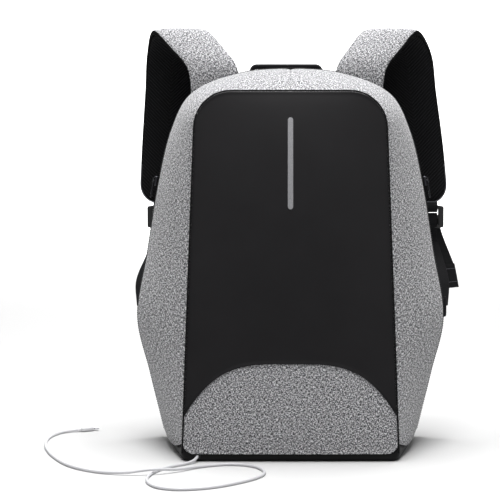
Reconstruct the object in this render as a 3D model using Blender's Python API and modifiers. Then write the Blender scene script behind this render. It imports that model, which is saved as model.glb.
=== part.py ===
"""Charging backpack with a rear-opening back panel, modelled in metres with +Z up.

The origin is the middle of the base's underside.  The bag stands on its base, its front faces -Y
and the wearer's side faces +Y.  "Left" is -X, as the bag is seen from its front.
"""
import math

import bmesh
import bpy
import numpy as np

# ---- driving dimensions -------------------------------------------------------------------------
BODY_HEIGHT = 0.430        # base to the top of the rear outline
HIP_HALF = 0.1775          # greatest half width of the rear outline
REAR_Y = 0.0595            # rear edge of the gussets
FRONT_BASE_Y = 0.078       # distance of the front face ahead of the origin, at the base
FRONT_TOP_Y = 0.020        # the same at the top of the front panel
FRONT_LEAN_POWER = 1.4     # over 1, the face is steep at the base and leans more above
FRONT_HEIGHT = 0.405       # base to the top of the front panel
FRONT_HALF_BASE = 0.119    # half width of the front face at the base
FRONT_HALF_TOP = 0.107     # the same where the top corners begin
FRONT_CORNER = 0.041       # radius of the front panel's top corners
FRONT_BULGE = 0.009        # how far the middle of the front swells ahead of its edges
GUSSET_BULGE = 0.004       # how far the sides swell out between front and rear
SHELL_THICK = 0.0020       # laminated fabric with its foam
ARCH_TIP = 0.0507          # height of the pocket seam at the sides
ARCH_RISE = 0.0570         # how much higher the pocket seam is in the middle
ARCH_POWER = 3.6           # how square the pocket seam's arch is
PIPING_RADIUS = 0.0012
BASE_RIM = 0.0090          # height of the base tray's wall
BASE_WALL = 0.0020
BASE_CORNER = 0.0120
STRIP_HALF = 0.0030        # reflective strip
STRIP_LOW = 0.2756
STRIP_HIGH = 0.3755
STRIP_THICK = 0.0006
BOARD_THICK = 0.0080
PAD_THICK = 0.0080
ZIP_WIDTH = 0.0030         # each half of the zip, front to rear
ZIP_THICK = 0.0015
STRAP_HALF = 0.0315        # half width of the padded strap at its widest
STRAP_PAD_THICK = 0.0060
STRAP_LINING_THICK = 0.0050
STRAP_LAYER_GAP = 0.0006   # between pad and lining
STRAP_RISE = 0.0460        # how far the strap's crest stands above the body
WEBBING_HALF = 0.0100
WEBBING_THICK = 0.0015
LOCK_HALF = 0.0150
LOCK_LENGTH = 0.0270
LOCK_THICK = 0.0040
HANDLE_HALF = 0.0420
HANDLE_X = -0.0050         # the handle sits a little to the left
HANDLE_RISE = 0.0048       # how far it stands above the body
HANDLE_DROP = 0.0280       # how far below the top its ends are sewn
HANDLE_WIDTH = 0.0220
HANDLE_THICK = 0.0045
BANK_SIZE = (0.068, 0.016, 0.112)
SLEEVE_DEPTH = 0.0240      # clear depth of the laptop sleeve
SLEEVE_EASE = 0.0225       # between the laptop sleeve's side and the base's rear corner
SLEEVE_HEIGHT = 0.262
LEAD_RADIUS = 0.0016
GAP = 0.0003               # between pieces that touch

# Half outline of the rear, base to top: shares of HIP_HALF and of BODY_HEIGHT
REAR_SHAPE = ((0.814, 0.0), (0.920, 0.182), (1.0, 0.333), (0.932, 0.513), (0.856, 0.703),
              (0.774, 0.836), (0.650, 0.930), (0.350, 0.986), (0.0, 1.0))

# ---- sizes that follow --------------------------------------------------------------------------
LOWER_EDGE = BASE_RIM + GAP
PANEL_INSET = SHELL_THICK + 0.0004
SIDE_SLOPE = (HIP_HALF - FRONT_HALF_BASE) / (REAR_Y + FRONT_BASE_Y)
TOP_SLOPE = (BODY_HEIGHT - FRONT_HEIGHT) / (REAR_Y + FRONT_TOP_Y)
RIM_LEAN = math.sin(math.atan(max(SIDE_SLOPE, TOP_SLOPE)))      # of the gusset's wall, at its rear rim
ZIP_SHELL_Y = REAR_Y + RIM_LEAN * SHELL_THICK + GAP
ZIP_BACK_Y = ZIP_SHELL_Y + ZIP_WIDTH + GAP
BOARD_Y = ZIP_BACK_Y + ZIP_WIDTH + GAP
BOARD_BACK_Y = BOARD_Y + BOARD_THICK
PAD_Y = BOARD_BACK_Y + GAP
PAD_BACK_Y = PAD_Y + PAD_THICK
BOARD_LOW = BASE_RIM + 0.0035


# ---- helpers ------------------------------------------------------------------------------------
def clear_scene():
    """Remove whatever the file opened with."""
    for obj in list(bpy.data.objects):
        bpy.data.objects.remove(obj)


def new_collection(name):
    """A collection linked to the scene."""
    collection = bpy.data.collections.new(name)
    bpy.context.scene.collection.children.link(collection)
    return collection


def material(name, hex_colour, roughness, metallic=0.0):
    """A Principled material from an sRGB hex colour."""
    channels = [int(hex_colour[i:i + 2], 16) / 255 for i in (0, 2, 4)]
    linear = [c / 12.92 if c <= 0.04045 else ((c + 0.055) / 1.055) ** 2.4 for c in channels]
    mat = bpy.data.materials.new(name)
    mat.use_nodes = True
    shader = mat.node_tree.nodes["Principled BSDF"]
    shader.inputs["Base Color"].default_value = (*linear, 1.0)
    shader.inputs["Roughness"].default_value = roughness
    shader.inputs["Metallic"].default_value = metallic
    mat.diffuse_color = (*linear, 1.0)
    return mat


def place(obj, mat, collection=None):
    """Link an object into the model's collection with its material."""
    (collection or BAG).objects.link(obj)
    obj.data.materials.append(mat)
    return obj


def mesh_object(name, vertices, faces, mat):
    """An object from points and faces, with its faces turned outward."""
    mesh = bpy.data.meshes.new(name)
    mesh.from_pydata([tuple(map(float, v)) for v in vertices], [], faces)
    work = bmesh.new()
    work.from_mesh(mesh)
    bmesh.ops.recalc_face_normals(work, faces=work.faces)
    work.to_mesh(mesh)
    work.free()
    mesh.shade_smooth()
    mesh.set_sharp_from_angle(angle=math.radians(40))
    return place(bpy.data.objects.new(name, mesh), mat)


def sheet_object(name, grid, thick, inside, mat):
    """A shell from a grid of points: its outer face is the grid, its thickness goes inward."""
    rows, columns = grid.shape[:2]
    points = grid.reshape(-1, 3)
    index = np.arange(rows * columns).reshape(rows, columns)
    quads = np.stack((index[:-1, :-1], index[1:, :-1], index[1:, 1:], index[:-1, 1:]), -1).reshape(-1, 4)
    corner = points[quads]
    normal = np.cross(corner[:, 2] - corner[:, 0], corner[:, 3] - corner[:, 1])
    if np.sum(normal * (corner.mean(axis=1) - np.array(inside))) < 0:
        quads = quads[:, ::-1]
    mesh = bpy.data.meshes.new(name)
    mesh.from_pydata(points.tolist(), [], quads.tolist())
    mesh.shade_smooth()
    obj = place(bpy.data.objects.new(name, mesh), mat)
    shell = obj.modifiers.new("thickness", "SOLIDIFY")
    shell.thickness = thick
    shell.offset = -1.0
    return obj


def box_object(name, size, centre, mat, bevel):
    """A box with rounded edges."""
    mesh = bpy.data.meshes.new(name)
    work = bmesh.new()
    bmesh.ops.create_cube(work, size=1.0)
    bmesh.ops.scale(work, vec=size, verts=work.verts)
    work.to_mesh(mesh)
    work.free()
    obj = place(bpy.data.objects.new(name, mesh), mat)
    obj.location = centre
    rounding = obj.modifiers.new("rounding", "BEVEL")
    rounding.width = bevel
    rounding.segments = 2 if bevel > 0.001 else 1
    return obj


def pouch_object(name, size, centre, wall, mat):
    """A box open at its top: the inside of a sewn pocket is the given size."""
    mesh = bpy.data.meshes.new(name)
    work = bmesh.new()
    bmesh.ops.create_cube(work, size=1.0)
    bmesh.ops.scale(work, vec=size, verts=work.verts)
    top = [face for face in work.faces if face.normal.z > 0.9]
    bmesh.ops.delete(work, geom=top, context="FACES_ONLY")
    work.to_mesh(mesh)
    work.free()
    obj = place(bpy.data.objects.new(name, mesh), mat)
    obj.location = centre
    shell = obj.modifiers.new("cloth", "SOLIDIFY")
    shell.thickness = wall
    shell.offset = 1.0
    shell.use_even_offset = True
    return obj


def plate_object(name, outline, thick, mat, location, rotation=(0.0, 0.0, 0.0)):
    """A flat outline, given as 2D points, extruded to a plate centred on its plane."""
    curve = bpy.data.curves.new(name, "CURVE")
    curve.dimensions = "2D"
    curve.fill_mode = "BOTH"
    curve.extrude = thick / 2
    for loop in outline:
        spline = curve.splines.new("POLY")
        spline.points.add(len(loop) - 1)
        for point, (x, y) in zip(spline.points, loop):
            point.co = (x, y, 0.0, 1.0)
        spline.use_cyclic_u = True
    obj = place(bpy.data.objects.new(name, curve), mat)
    obj.location = location
    obj.rotation_euler = rotation
    return obj


def tube_object(name, points, radius, mat, resolution=2):
    """A round tube along the points, with filled caps."""
    curve = bpy.data.curves.new(name, "CURVE")
    curve.dimensions = "3D"
    curve.bevel_depth = radius
    curve.bevel_resolution = resolution
    curve.use_fill_caps = True
    spline = curve.splines.new("POLY")
    spline.points.add(len(points) - 1)
    for point, place_at in zip(spline.points, points):
        point.co = (*map(float, place_at), 1.0)
    return place(bpy.data.objects.new(name, curve), mat)


def smooth_route(points, count):
    """Evenly spaced points on a centripetal Catmull-Rom curve through the given points."""
    knots = np.array(points, float)
    knots = np.vstack((2 * knots[0] - knots[1], knots, 2 * knots[-1] - knots[-2]))
    dense = []
    for p0, p1, p2, p3 in zip(knots, knots[1:], knots[2:], knots[3:]):
        t0 = 0.0
        t1 = t0 + np.linalg.norm(p1 - p0) ** 0.5
        t2 = t1 + np.linalg.norm(p2 - p1) ** 0.5
        t3 = t2 + np.linalg.norm(p3 - p2) ** 0.5
        t = np.linspace(t1, t2, 24, endpoint=False)[:, None]
        a1 = (t1 - t) / (t1 - t0) * p0 + (t - t0) / (t1 - t0) * p1
        a2 = (t2 - t) / (t2 - t1) * p1 + (t - t1) / (t2 - t1) * p2
        a3 = (t3 - t) / (t3 - t2) * p2 + (t - t2) / (t3 - t2) * p3
        b1 = (t2 - t) / (t2 - t0) * a1 + (t - t0) / (t2 - t0) * a2
        b2 = (t3 - t) / (t3 - t1) * a2 + (t - t1) / (t3 - t1) * a3
        dense.append((t2 - t) / (t2 - t1) * b1 + (t - t1) / (t2 - t1) * b2)
    dense = np.vstack(dense + [knots[-2][None]])
    return evenly_spaced(dense, count)


def evenly_spaced(points, count):
    """The polyline read again at equal steps of its own length."""
    steps = np.linalg.norm(np.diff(points, axis=0), axis=1)
    along = np.concatenate(([0.0], np.cumsum(steps)))
    wanted = np.linspace(0.0, along[-1], count)
    return np.stack([np.interp(wanted, along, column) for column in points.T], axis=1)


def rounded_outline(corners, radii, steps=6):
    """A polygon with each convex corner replaced by an arc."""
    outline = []
    for i, (corner, radius) in enumerate(zip(corners, radii)):
        here = np.array(corner, float)
        back = np.array(corners[i - 1], float) - here
        ahead = np.array(corners[(i + 1) % len(corners)], float) - here
        back /= np.linalg.norm(back)
        ahead /= np.linalg.norm(ahead)
        half = math.acos(np.clip(back @ ahead, -1, 1)) / 2
        middle = (back + ahead) / np.linalg.norm(back + ahead)
        centre = here + middle * radius / math.sin(half)
        start = here + back * radius / math.tan(half) - centre
        end = here + ahead * radius / math.tan(half) - centre
        turn = math.atan2(start[0] * end[1] - start[1] * end[0], start @ end)
        for k in range(steps + 1):
            angle = turn * k / steps
            spin = np.array(((math.cos(angle), -math.sin(angle)), (math.sin(angle), math.cos(angle))))
            outline.append(tuple(centre + spin @ start))
    return outline


def band_object(name, centres, across, half_widths, thick, offset, mat):
    """A flat strap swept along its centres.

    across gives the width direction at each centre, and offset is how far the strap's middle
    layer lies from the centres, on the outer side of its bend.
    """
    tangents = np.gradient(centres, axis=0)
    across = across / np.linalg.norm(across, axis=1)[:, None]
    tangents -= np.sum(across * tangents, axis=1)[:, None] * across
    tangents /= np.linalg.norm(tangents, axis=1)[:, None]
    outer = np.cross(across, tangents)
    edge = thick / 2
    rings = []
    for centre, side, out, half in zip(centres, across, outer, half_widths):
        flat = half - edge
        bulge = edge * 0.8
        ring = [(flat, edge), (-flat, edge), (-flat - bulge, edge * 0.55), (-flat - bulge, -edge * 0.55),
                (-flat, -edge), (flat, -edge), (flat + bulge, -edge * 0.55), (flat + bulge, edge * 0.55)]
        rings.append([centre + side * w + out * (n + offset) for w, n in ring])
    vertices = np.array(rings).reshape(-1, 3)
    size = len(rings[0])
    faces = [tuple(range(size)), tuple(range(len(vertices) - 1, len(vertices) - 1 - size, -1))]
    for ring in range(len(rings) - 1):
        for k in range(size):
            low = ring * size
            after = (k + 1) % size
            faces.append((low + k, low + after, low + size + after, low + size + k))
    return mesh_object(name, vertices, faces, mat)


# ---- outlines of the body -----------------------------------------------------------------------
def rear_curve():
    """Dense half outline of the rear as (x, z), from the base to the top centre."""
    shape = np.array(REAR_SHAPE) * (HIP_HALF, BODY_HEIGHT)
    shape = np.vstack((shape, (-shape[-2][0], shape[-2][1])))
    curve = smooth_route(shape, 600)
    return curve[:np.argmin(np.abs(curve[:, 0])) + 1]


def rear_half_at(z):
    """Half width of the rear outline at a height."""
    curve = rear_curve()
    return float(np.interp(z, curve[:, 1], curve[:, 0]))


def front_half_at(z):
    """Half width of the front face at a height below its top corners."""
    share = np.clip(z / (FRONT_HEIGHT - FRONT_CORNER), 0, 1)
    return FRONT_HALF_BASE + (FRONT_HALF_TOP - FRONT_HALF_BASE) * share


def front_edge_y(z):
    """Where the front face's edge is at a height: the face leans back towards its top."""
    share = np.clip(z / FRONT_HEIGHT, 0, 1)
    return -FRONT_BASE_Y + (FRONT_BASE_Y - FRONT_TOP_Y) * share ** FRONT_LEAN_POWER


def front_y(x, z):
    """The front face: its leaning edge, less a swelling that is greatest in the middle."""
    share = np.clip(z / FRONT_HEIGHT, 0, 1)
    across = np.clip(np.abs(x) / front_half_at(z), 0, 1)
    return front_edge_y(z) - FRONT_BULGE * (1 - across ** 2) * np.sqrt(np.sin(math.pi * share) + 1e-9)


def front_curve(count_side, count_top):
    """Half outline of the front face: up the side, round the corner and in to the centre."""
    heights = np.linspace(LOWER_EDGE, FRONT_HEIGHT - FRONT_CORNER, count_side)
    side = np.stack((front_half_at(heights), heights), axis=1)
    turn = np.linspace(0, math.pi / 2, 16)
    arc = np.stack((FRONT_HALF_TOP - FRONT_CORNER + FRONT_CORNER * np.cos(turn),
                    FRONT_HEIGHT - FRONT_CORNER + FRONT_CORNER * np.sin(turn)), axis=1)
    top = evenly_spaced(np.vstack((arc, (GAP / 2, FRONT_HEIGHT))), count_top)
    return np.vstack((side, top[1:]))


def rear_outline(count_side, count_top):
    """The rear half outline, read so that each point pairs with one of the front's."""
    curve = rear_curve()
    split = FRONT_HEIGHT - FRONT_CORNER
    heights = np.linspace(LOWER_EDGE, split, count_side)
    side = np.stack((np.interp(heights, curve[:, 1], curve[:, 0]), heights), axis=1)
    upper = curve[curve[:, 1] > split]
    upper = np.vstack((side[-1], upper))
    upper = upper[upper[:, 0] > GAP / 2]
    upper = np.vstack((upper, (GAP / 2, BODY_HEIGHT)))
    top = evenly_spaced(upper, count_top)
    return np.vstack((side, top[1:]))


def outward_of(outline):
    """Unit outward directions along a half outline that runs up the +X side to the top."""
    tangents = np.gradient(outline, axis=0)
    tangents /= np.linalg.norm(tangents, axis=1)[:, None]
    return np.stack((tangents[:, 1], -tangents[:, 0]), axis=1)


# ---- the shell ----------------------------------------------------------------------------------
def make_gusset(name, side, mat):
    """One side and half of the top: a bulged strip between the front and rear outlines."""
    front = front_curve(24, 18)
    rear = rear_outline(24, 18)
    start = np.stack((front[:, 0], front_edge_y(front[:, 1]), front[:, 1]), axis=1)
    end = np.stack((rear[:, 0], np.full(len(rear), REAR_Y), rear[:, 1]), axis=1)
    out = outward_of((front + rear) / 2)
    lift = np.stack((out[:, 0], np.zeros(len(out)), out[:, 1]), axis=1)
    lift[:, 0] *= np.clip(rear[:, 0] / 0.02, 0, 1)
    length = np.linalg.norm(end - start, axis=1)[:, None]
    first = (PIPING_RADIUS + GAP) / length
    columns = []
    for step in np.linspace(0, 1, 8):
        share = first + (1 - first) * step
        columns.append(start + (end - start) * share + lift * GUSSET_BULGE * 4 * share * (1 - share))
    grid = np.stack(columns, axis=1)
    grid[:, :, 2] = np.maximum(grid[:, :, 2], LOWER_EDGE)
    grid[:, :, 0] *= side
    return sheet_object(name, grid, SHELL_THICK, (0, 0, BODY_HEIGHT / 2), mat)


def front_grid(low_of, high_of, rows, ahead=0.0):
    """A grid on the front face between two heights that depend on the share across."""
    spread = np.sin(np.linspace(-1, 1, 23) * math.pi / 2)
    grid = np.zeros((len(spread), rows, 3))
    for i, share in enumerate(spread):
        heights = np.linspace(low_of(share), high_of(share), rows)
        x = share * (front_half_at(heights) - PANEL_INSET)
        grid[i, :, 0] = x
        grid[i, :, 1] = front_y(x, heights) - ahead
        grid[i, :, 2] = heights
    return grid


def arch(share):
    """Height of the pocket seam at a share of the half width."""
    return ARCH_TIP + ARCH_RISE * (1 - abs(share) ** ARCH_POWER)


def panel_top(share):
    """Upper edge of the front panel, with its round corners."""
    half = FRONT_HALF_TOP - PANEL_INSET
    radius = FRONT_CORNER - PANEL_INSET
    past = max(abs(share) * half - (half - radius), 0.0)
    return FRONT_HEIGHT - PANEL_INSET - radius + math.sqrt(max(radius ** 2 - past ** 2, 0.0))


def make_front():
    """The dark front panel, the grey pocket below its seam, the strip and the piping."""
    inside = (0, 0, BODY_HEIGHT / 2)
    sheet_object("front_panel", front_grid(arch, panel_top, 14), SHELL_THICK, inside, DARK_FABRIC)
    pocket = front_grid(lambda share: LOWER_EDGE, lambda share: arch(share) - 2 * GAP, 6)
    sheet_object("pocket_panel", pocket, SHELL_THICK, inside, GREY_FABRIC)

    ends = np.linspace(-1, 1, 17)
    middle = (STRIP_LOW + STRIP_HIGH) / 2
    heights = middle + np.sin(ends * math.pi / 2) * (STRIP_HIGH - STRIP_LOW) / 2
    past = np.clip(np.abs(heights - middle) - ((STRIP_HIGH - STRIP_LOW) / 2 - STRIP_HALF), 0, STRIP_HALF)
    half = np.sqrt(STRIP_HALF ** 2 - past ** 2) * 0.9 + STRIP_HALF * 0.1
    grid = np.zeros((len(heights), 3, 3))
    for k, share in enumerate(np.linspace(-1, 1, 3)):
        x = half * share
        grid[:, k, 0] = x
        grid[:, k, 1] = front_y(x, heights) - GAP - STRIP_THICK
        grid[:, k, 2] = heights
    sheet_object("reflective_strip", grid, STRIP_THICK, inside, REFLECTIVE)

    half_route = front_curve(24, 18)[:-1]
    right = np.stack((half_route[:, 0], front_edge_y(half_route[:, 1]), half_route[:, 1]), axis=1)
    left = right * (-1, 1, 1)
    tube_object("front_piping", np.vstack((left, right[::-1])), PIPING_RADIUS, BLACK_TRIM)


def base_outline():
    """Plan of the base: narrower at the front, with round corners."""
    rear_half = rear_half_at(0.0)
    corners = ((-rear_half, REAR_Y), (-FRONT_HALF_BASE, -FRONT_BASE_Y),
               (FRONT_HALF_BASE, -FRONT_BASE_Y), (rear_half, REAR_Y))
    return rounded_outline(corners, (BASE_CORNER,) * 4)


OUTLET_X = -0.1020
OUTLET_Z = 0.0057
OUTLET_HOLE = 0.0029


def make_base():
    """A shallow tray: the floor of the bag with its black wall, holed for the lead's outlet."""
    outline = base_outline()
    mesh = bpy.data.meshes.new("base_panel")
    work = bmesh.new()
    floor = work.faces.new([work.verts.new((x, y, 0.0)) for x, y in outline])
    if floor.normal.z > 0:
        floor.normal_flip()
    wall = bmesh.ops.extrude_edge_only(work, edges=list(work.edges))
    raised = [item for item in wall["geom"] if isinstance(item, bmesh.types.BMVert)]
    bmesh.ops.translate(work, vec=(0, 0, BASE_RIM), verts=raised)
    bmesh.ops.recalc_face_normals(work, faces=work.faces)
    work.normal_update()
    if [f for f in work.faces if len(f.verts) > 4][0].normal.z > 0:
        bmesh.ops.reverse_faces(work, faces=work.faces)
    work.to_mesh(mesh)
    work.free()
    tray = place(bpy.data.objects.new("base_panel", mesh), BLACK_BASE)
    shell = tray.modifiers.new("wall", "SOLIDIFY")
    shell.thickness = BASE_WALL
    shell.offset = -1.0
    shell.use_even_offset = True

    bpy.ops.mesh.primitive_cylinder_add(vertices=24, radius=OUTLET_HOLE, depth=4 * BASE_WALL)
    cutter = bpy.context.active_object
    cutter.name = "outlet_cutter"
    cutter.rotation_euler = (math.pi / 2, 0, 0)
    cutter.location = (OUTLET_X, -FRONT_BASE_Y + BASE_WALL / 2, OUTLET_Z)
    for owner in list(cutter.users_collection):
        owner.objects.unlink(cutter)
    CUTTERS.objects.link(cutter)
    cutter.hide_render = True
    cutter.display_type = "WIRE"
    hole = tray.modifiers.new("outlet", "BOOLEAN")
    hole.operation = "DIFFERENCE"
    hole.solver = "EXACT"
    hole.object = cutter


def make_outlet():
    """A rubber grommet in the base wall: a flange outside and one inside, on one sleeve."""
    bore = LEAD_RADIUS + GAP
    sleeve = OUTLET_HOLE - GAP
    flange = OUTLET_HOLE + 0.0004
    face = BASE_WALL / 2 + GAP
    lip = face + 0.0009
    profile = ((sleeve, face), (flange, face), (flange, lip), (bore, lip),
               (bore, -lip), (flange, -lip), (flange, -face), (sleeve, -face))
    mesh = bpy.data.meshes.new("lead_outlet")
    work = bmesh.new()
    ring = [work.verts.new((radius, 0.0, height)) for radius, height in profile]
    for a, b in zip(ring, ring[1:] + ring[:1]):
        work.edges.new((a, b))
    bmesh.ops.spin(work, geom=work.verts[:] + work.edges[:], cent=(0, 0, 0), axis=(0, 0, 1),
                   angle=2 * math.pi, steps=24, use_merge=True)
    bmesh.ops.remove_doubles(work, verts=work.verts, dist=1e-6)
    bmesh.ops.recalc_face_normals(work, faces=work.faces)
    work.to_mesh(mesh)
    work.free()
    outlet = place(bpy.data.objects.new("lead_outlet", mesh), RUBBER)
    outlet.location = (OUTLET_X, -FRONT_BASE_Y + BASE_WALL / 2, OUTLET_Z)
    outlet.rotation_euler = (math.pi / 2, 0, 0)


# ---- the zip ------------------------------------------------------------------------------------
def zip_band(name, low_y, mat):
    """One half of the zip: a band round the rear outline, from base to base over the top."""
    curve = rear_curve()
    curve = curve[curve[:, 1] > BOARD_LOW]
    route = evenly_spaced(curve, 44)
    route = route[:-1]
    loop = np.vstack((route * (-1, 1), (0.0, BODY_HEIGHT), route[::-1]))
    grid = np.zeros((len(loop), 2, 3))
    for k, y in enumerate((low_y, low_y + ZIP_WIDTH)):
        grid[:, k, 0] = loop[:, 0]
        grid[:, k, 1] = y
        grid[:, k, 2] = loop[:, 1]
    return sheet_object(name, grid, ZIP_THICK, (0, low_y, BODY_HEIGHT / 2), mat)


SLIDER_TOP = 0.300          # where each slider rests on its side
SLIDER_TRAVEL = 0.060
SLIDER_SIZE = (0.0036, 0.0070, 0.0110)
SLIDER_STAND = 0.0010       # between the middle of the zip and the slider's inner face
PULL_LENGTH = 0.0200        # below the pull's axis
PULL_WIDTH = 0.0060
PULL_THICK = 0.0016


def zip_line(side):
    """Start point and unit direction of a slider's travel down one side."""
    start = np.array((side * rear_half_at(SLIDER_TOP), ZIP_BACK_Y - GAP / 2, SLIDER_TOP))
    low = SLIDER_TOP - SLIDER_TRAVEL
    end = np.array((side * rear_half_at(low), ZIP_BACK_Y - GAP / 2, low))
    direction = (end - start) / np.linalg.norm(end - start)
    return start, direction


def make_slider(suffix, side):
    """A zip slider and its pull, which hangs down along the side."""
    start, down = zip_line(side)
    out = np.array((-down[2] * side, 0.0, down[0] * side))
    lean = math.atan2(down[0], -down[2])
    centre = start + out * (SLIDER_STAND + SLIDER_SIZE[0] / 2)
    body = box_object("zip_slider_" + suffix, SLIDER_SIZE, centre, DARK_METAL, 0.0008)
    body.rotation_euler = (0.0, -lean, 0.0)
    pivot = start + out * (SLIDER_STAND + SLIDER_SIZE[0] + GAP + PULL_THICK / 2)
    axle = bpy.data.objects.new("pull_axis_" + suffix, None)
    BAG.objects.link(axle)
    axle.location = pivot
    axle.rotation_euler = (0.0, -lean, 0.0)
    size = (PULL_THICK, PULL_WIDTH, PULL_LENGTH + PULL_THICK / 2)
    middle = (0.0, 0.0, PULL_THICK / 2 - size[2] / 2)
    pull = box_object("zip_pull_" + suffix, size, middle, DARK_METAL, 0.0005)
    pull.parent = axle


# ---- the back panel -----------------------------------------------------------------------------
WING_WIDTH = 0.0375        # from the hip in to where the strap's lower anchor is sewn
BAND_EASE = 0.0180          # between the anchor's wing and the luggage band
BAND_HALF = HIP_HALF - WING_WIDTH - BAND_EASE
BAND_HEIGHT = 0.058
BAND_THICK = 0.0018
BAND_FOOT = 0.0100
BAND_STAND = 0.0075         # how far it stands off the pads
BAND_Z = 0.195
PAD_EASE = 0.0060           # between the band's foot and the pads
PAD_OUTER = BAND_HALF - BAND_FOOT - PAD_EASE
SPINE_HALF = 0.0140         # half the gap between the side pads
SIDE_PAD_SIZE = (PAD_OUTER - SPINE_HALF, PAD_THICK, 0.225)
SIDE_PAD_X = (PAD_OUTER + SPINE_HALF) / 2
SIDE_PAD_Z = 0.235
LUMBAR_SIZE = (2 * PAD_OUTER, PAD_THICK, 0.062)
LUMBAR_Z = 0.075
PAD_ROUNDING = 0.0035
YOKE_SIZE = (0.236, 0.0020, 0.030)
YOKE_Z = BODY_HEIGHT - 0.058
SLEEVE_WALL = 0.0018
SLEEVE_LOW = 0.028
SLEEVE_HALF = REAR_SHAPE[0][0] * HIP_HALF - SLEEVE_EASE
TABLET_EASE = 0.0270        # between the sides of the laptop sleeve and of the tablet's
TABLET_SIZE = (2 * (SLEEVE_HALF - TABLET_EASE), 0.0100, 0.190)
TABLET_LOW = 0.050


def make_back_panel():
    """The stiff board that opens, its pads, the luggage band and the sleeves inside it."""
    curve = rear_curve()
    curve = curve[curve[:, 1] > BOARD_LOW]
    route = evenly_spaced(curve, 40)[:-1]
    loop = np.vstack((route, (0.0, BODY_HEIGHT), route[::-1] * (-1, 1)))
    plate_object("back_board", [loop.tolist()], BOARD_THICK, BLACK_FABRIC,
                 (0, BOARD_Y + BOARD_THICK / 2, 0), (math.pi / 2, 0, 0))
    for suffix, side in SIDES:
        box_object("back_pad_" + suffix, SIDE_PAD_SIZE,
                   (side * SIDE_PAD_X, PAD_Y + PAD_THICK / 2, SIDE_PAD_Z), BLACK_MESH, PAD_ROUNDING)
    box_object("lumbar_pad", LUMBAR_SIZE, (0, PAD_Y + PAD_THICK / 2, LUMBAR_Z), BLACK_MESH, PAD_ROUNDING)
    box_object("strap_yoke", YOKE_SIZE, (0, PAD_Y + YOKE_SIZE[1] / 2, YOKE_Z), BLACK_FABRIC, 0.0008)

    near = PAD_BACK_Y + BAND_STAND
    far = near + BAND_THICK
    foot = BAND_HALF - BAND_FOOT
    legs = ((foot, PAD_Y), (BAND_HALF, PAD_Y), (BAND_HALF, far), (-BAND_HALF, far),
            (-BAND_HALF, PAD_Y), (-foot, PAD_Y), (-foot, near), (foot, near))
    plate_object("luggage_band", [legs], BAND_HEIGHT, BLACK_FABRIC, (0, 0, BAND_Z))

    sleeve_y = BOARD_Y - GAP - SLEEVE_WALL - SLEEVE_DEPTH / 2
    pouch_object("laptop_sleeve", (2 * SLEEVE_HALF, SLEEVE_DEPTH, SLEEVE_HEIGHT),
                 (0, sleeve_y, SLEEVE_LOW + SLEEVE_HEIGHT / 2), SLEEVE_WALL, LINING)
    tablet_y = sleeve_y - SLEEVE_DEPTH / 2 - 2 * SLEEVE_WALL - GAP - TABLET_SIZE[1] / 2
    pouch_object("tablet_sleeve", TABLET_SIZE, (0, tablet_y, TABLET_LOW + TABLET_SIZE[2] / 2),
                 SLEEVE_WALL, LINING)


# ---- straps -------------------------------------------------------------------------------------
STRAP_ROOT_X = {"left": 0.088, "right": 0.080}      # middle of each strap's sewn root
STRAP_CREST_X = {"left": 0.131, "right": 0.119}     # middle at the crest
STRAP_END_X = {"left": 0.150, "right": 0.158}       # middle of the lower end
STRAP_ROOT_Z = BODY_HEIGHT - 0.038
STRAP_END_Z = BODY_HEIGHT - 0.153
LOCK_X = {"left": 0.154, "right": 0.166}
STRAP_BACK = 0.158         # how far behind the origin the hanging part lies
ANCHOR_X = HIP_HALF + 0.0035      # lower anchor, at the hip
ANCHOR_Z = 0.152


def strap_route(suffix, side):
    """Centre line of a padded strap: up from the root, over the crest and down behind the bag."""
    root = STRAP_ROOT_X[suffix]
    crest = STRAP_CREST_X[suffix]
    end = STRAP_END_X[suffix]
    top = BODY_HEIGHT + STRAP_RISE - STRAP_PAD_THICK
    root_y = PAD_Y + 0.0020 + GAP + STRAP_LINING_THICK + 0.0035
    points = ((root, root_y, STRAP_ROOT_Z),
              (root + 0.06 * (crest - root), root_y + 0.0035, STRAP_ROOT_Z + 0.036),
              (root + 0.42 * (crest - root), root_y + 0.0140, top - 0.022),
              (crest, 0.125, top),
              (crest + 0.45 * (end - crest), 0.149, top - 0.024),
              (crest + 0.62 * (end - crest), STRAP_BACK, top - 0.068),
              (crest + 0.85 * (end - crest), STRAP_BACK + 0.001, STRAP_END_Z + 0.060),
              (end, STRAP_BACK - 0.008, STRAP_END_Z))
    return smooth_route([(side * x, y, z) for x, y, z in points], 34)


def strap_widths(count):
    """Half widths: a little narrower at the root, and rounded off at the lower end."""
    share = np.linspace(0, 1, count)
    half = STRAP_HALF - 0.004 * np.exp(-(share / 0.16) ** 2)
    ending = np.clip((share - 0.90) / 0.10, 0, 1)
    return half * (1 - 0.55 * (1 - np.sqrt(1 - (ending * 0.96) ** 2)))


def lower_route(suffix, side):
    """Centre line of the lower webbing, from below the lock to the anchor at the hip."""
    lock = LOCK_X[suffix]
    top = STRAP_END_Z - 0.0105 - LOCK_LENGTH - 0.0010
    points = ((lock, STRAP_BACK - 0.0105, top),
              (lock, STRAP_BACK - 0.0110, top - 0.010),
              (lock + 0.45 * (ANCHOR_X - lock), STRAP_BACK - 0.024, top - 0.032),
              (ANCHOR_X, 0.104, ANCHOR_Z + 0.026),
              (ANCHOR_X, PAD_Y + WEBBING_HALF + 0.0030, ANCHOR_Z))
    return smooth_route([(side * x, y, z) for x, y, z in points], 16)


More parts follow.
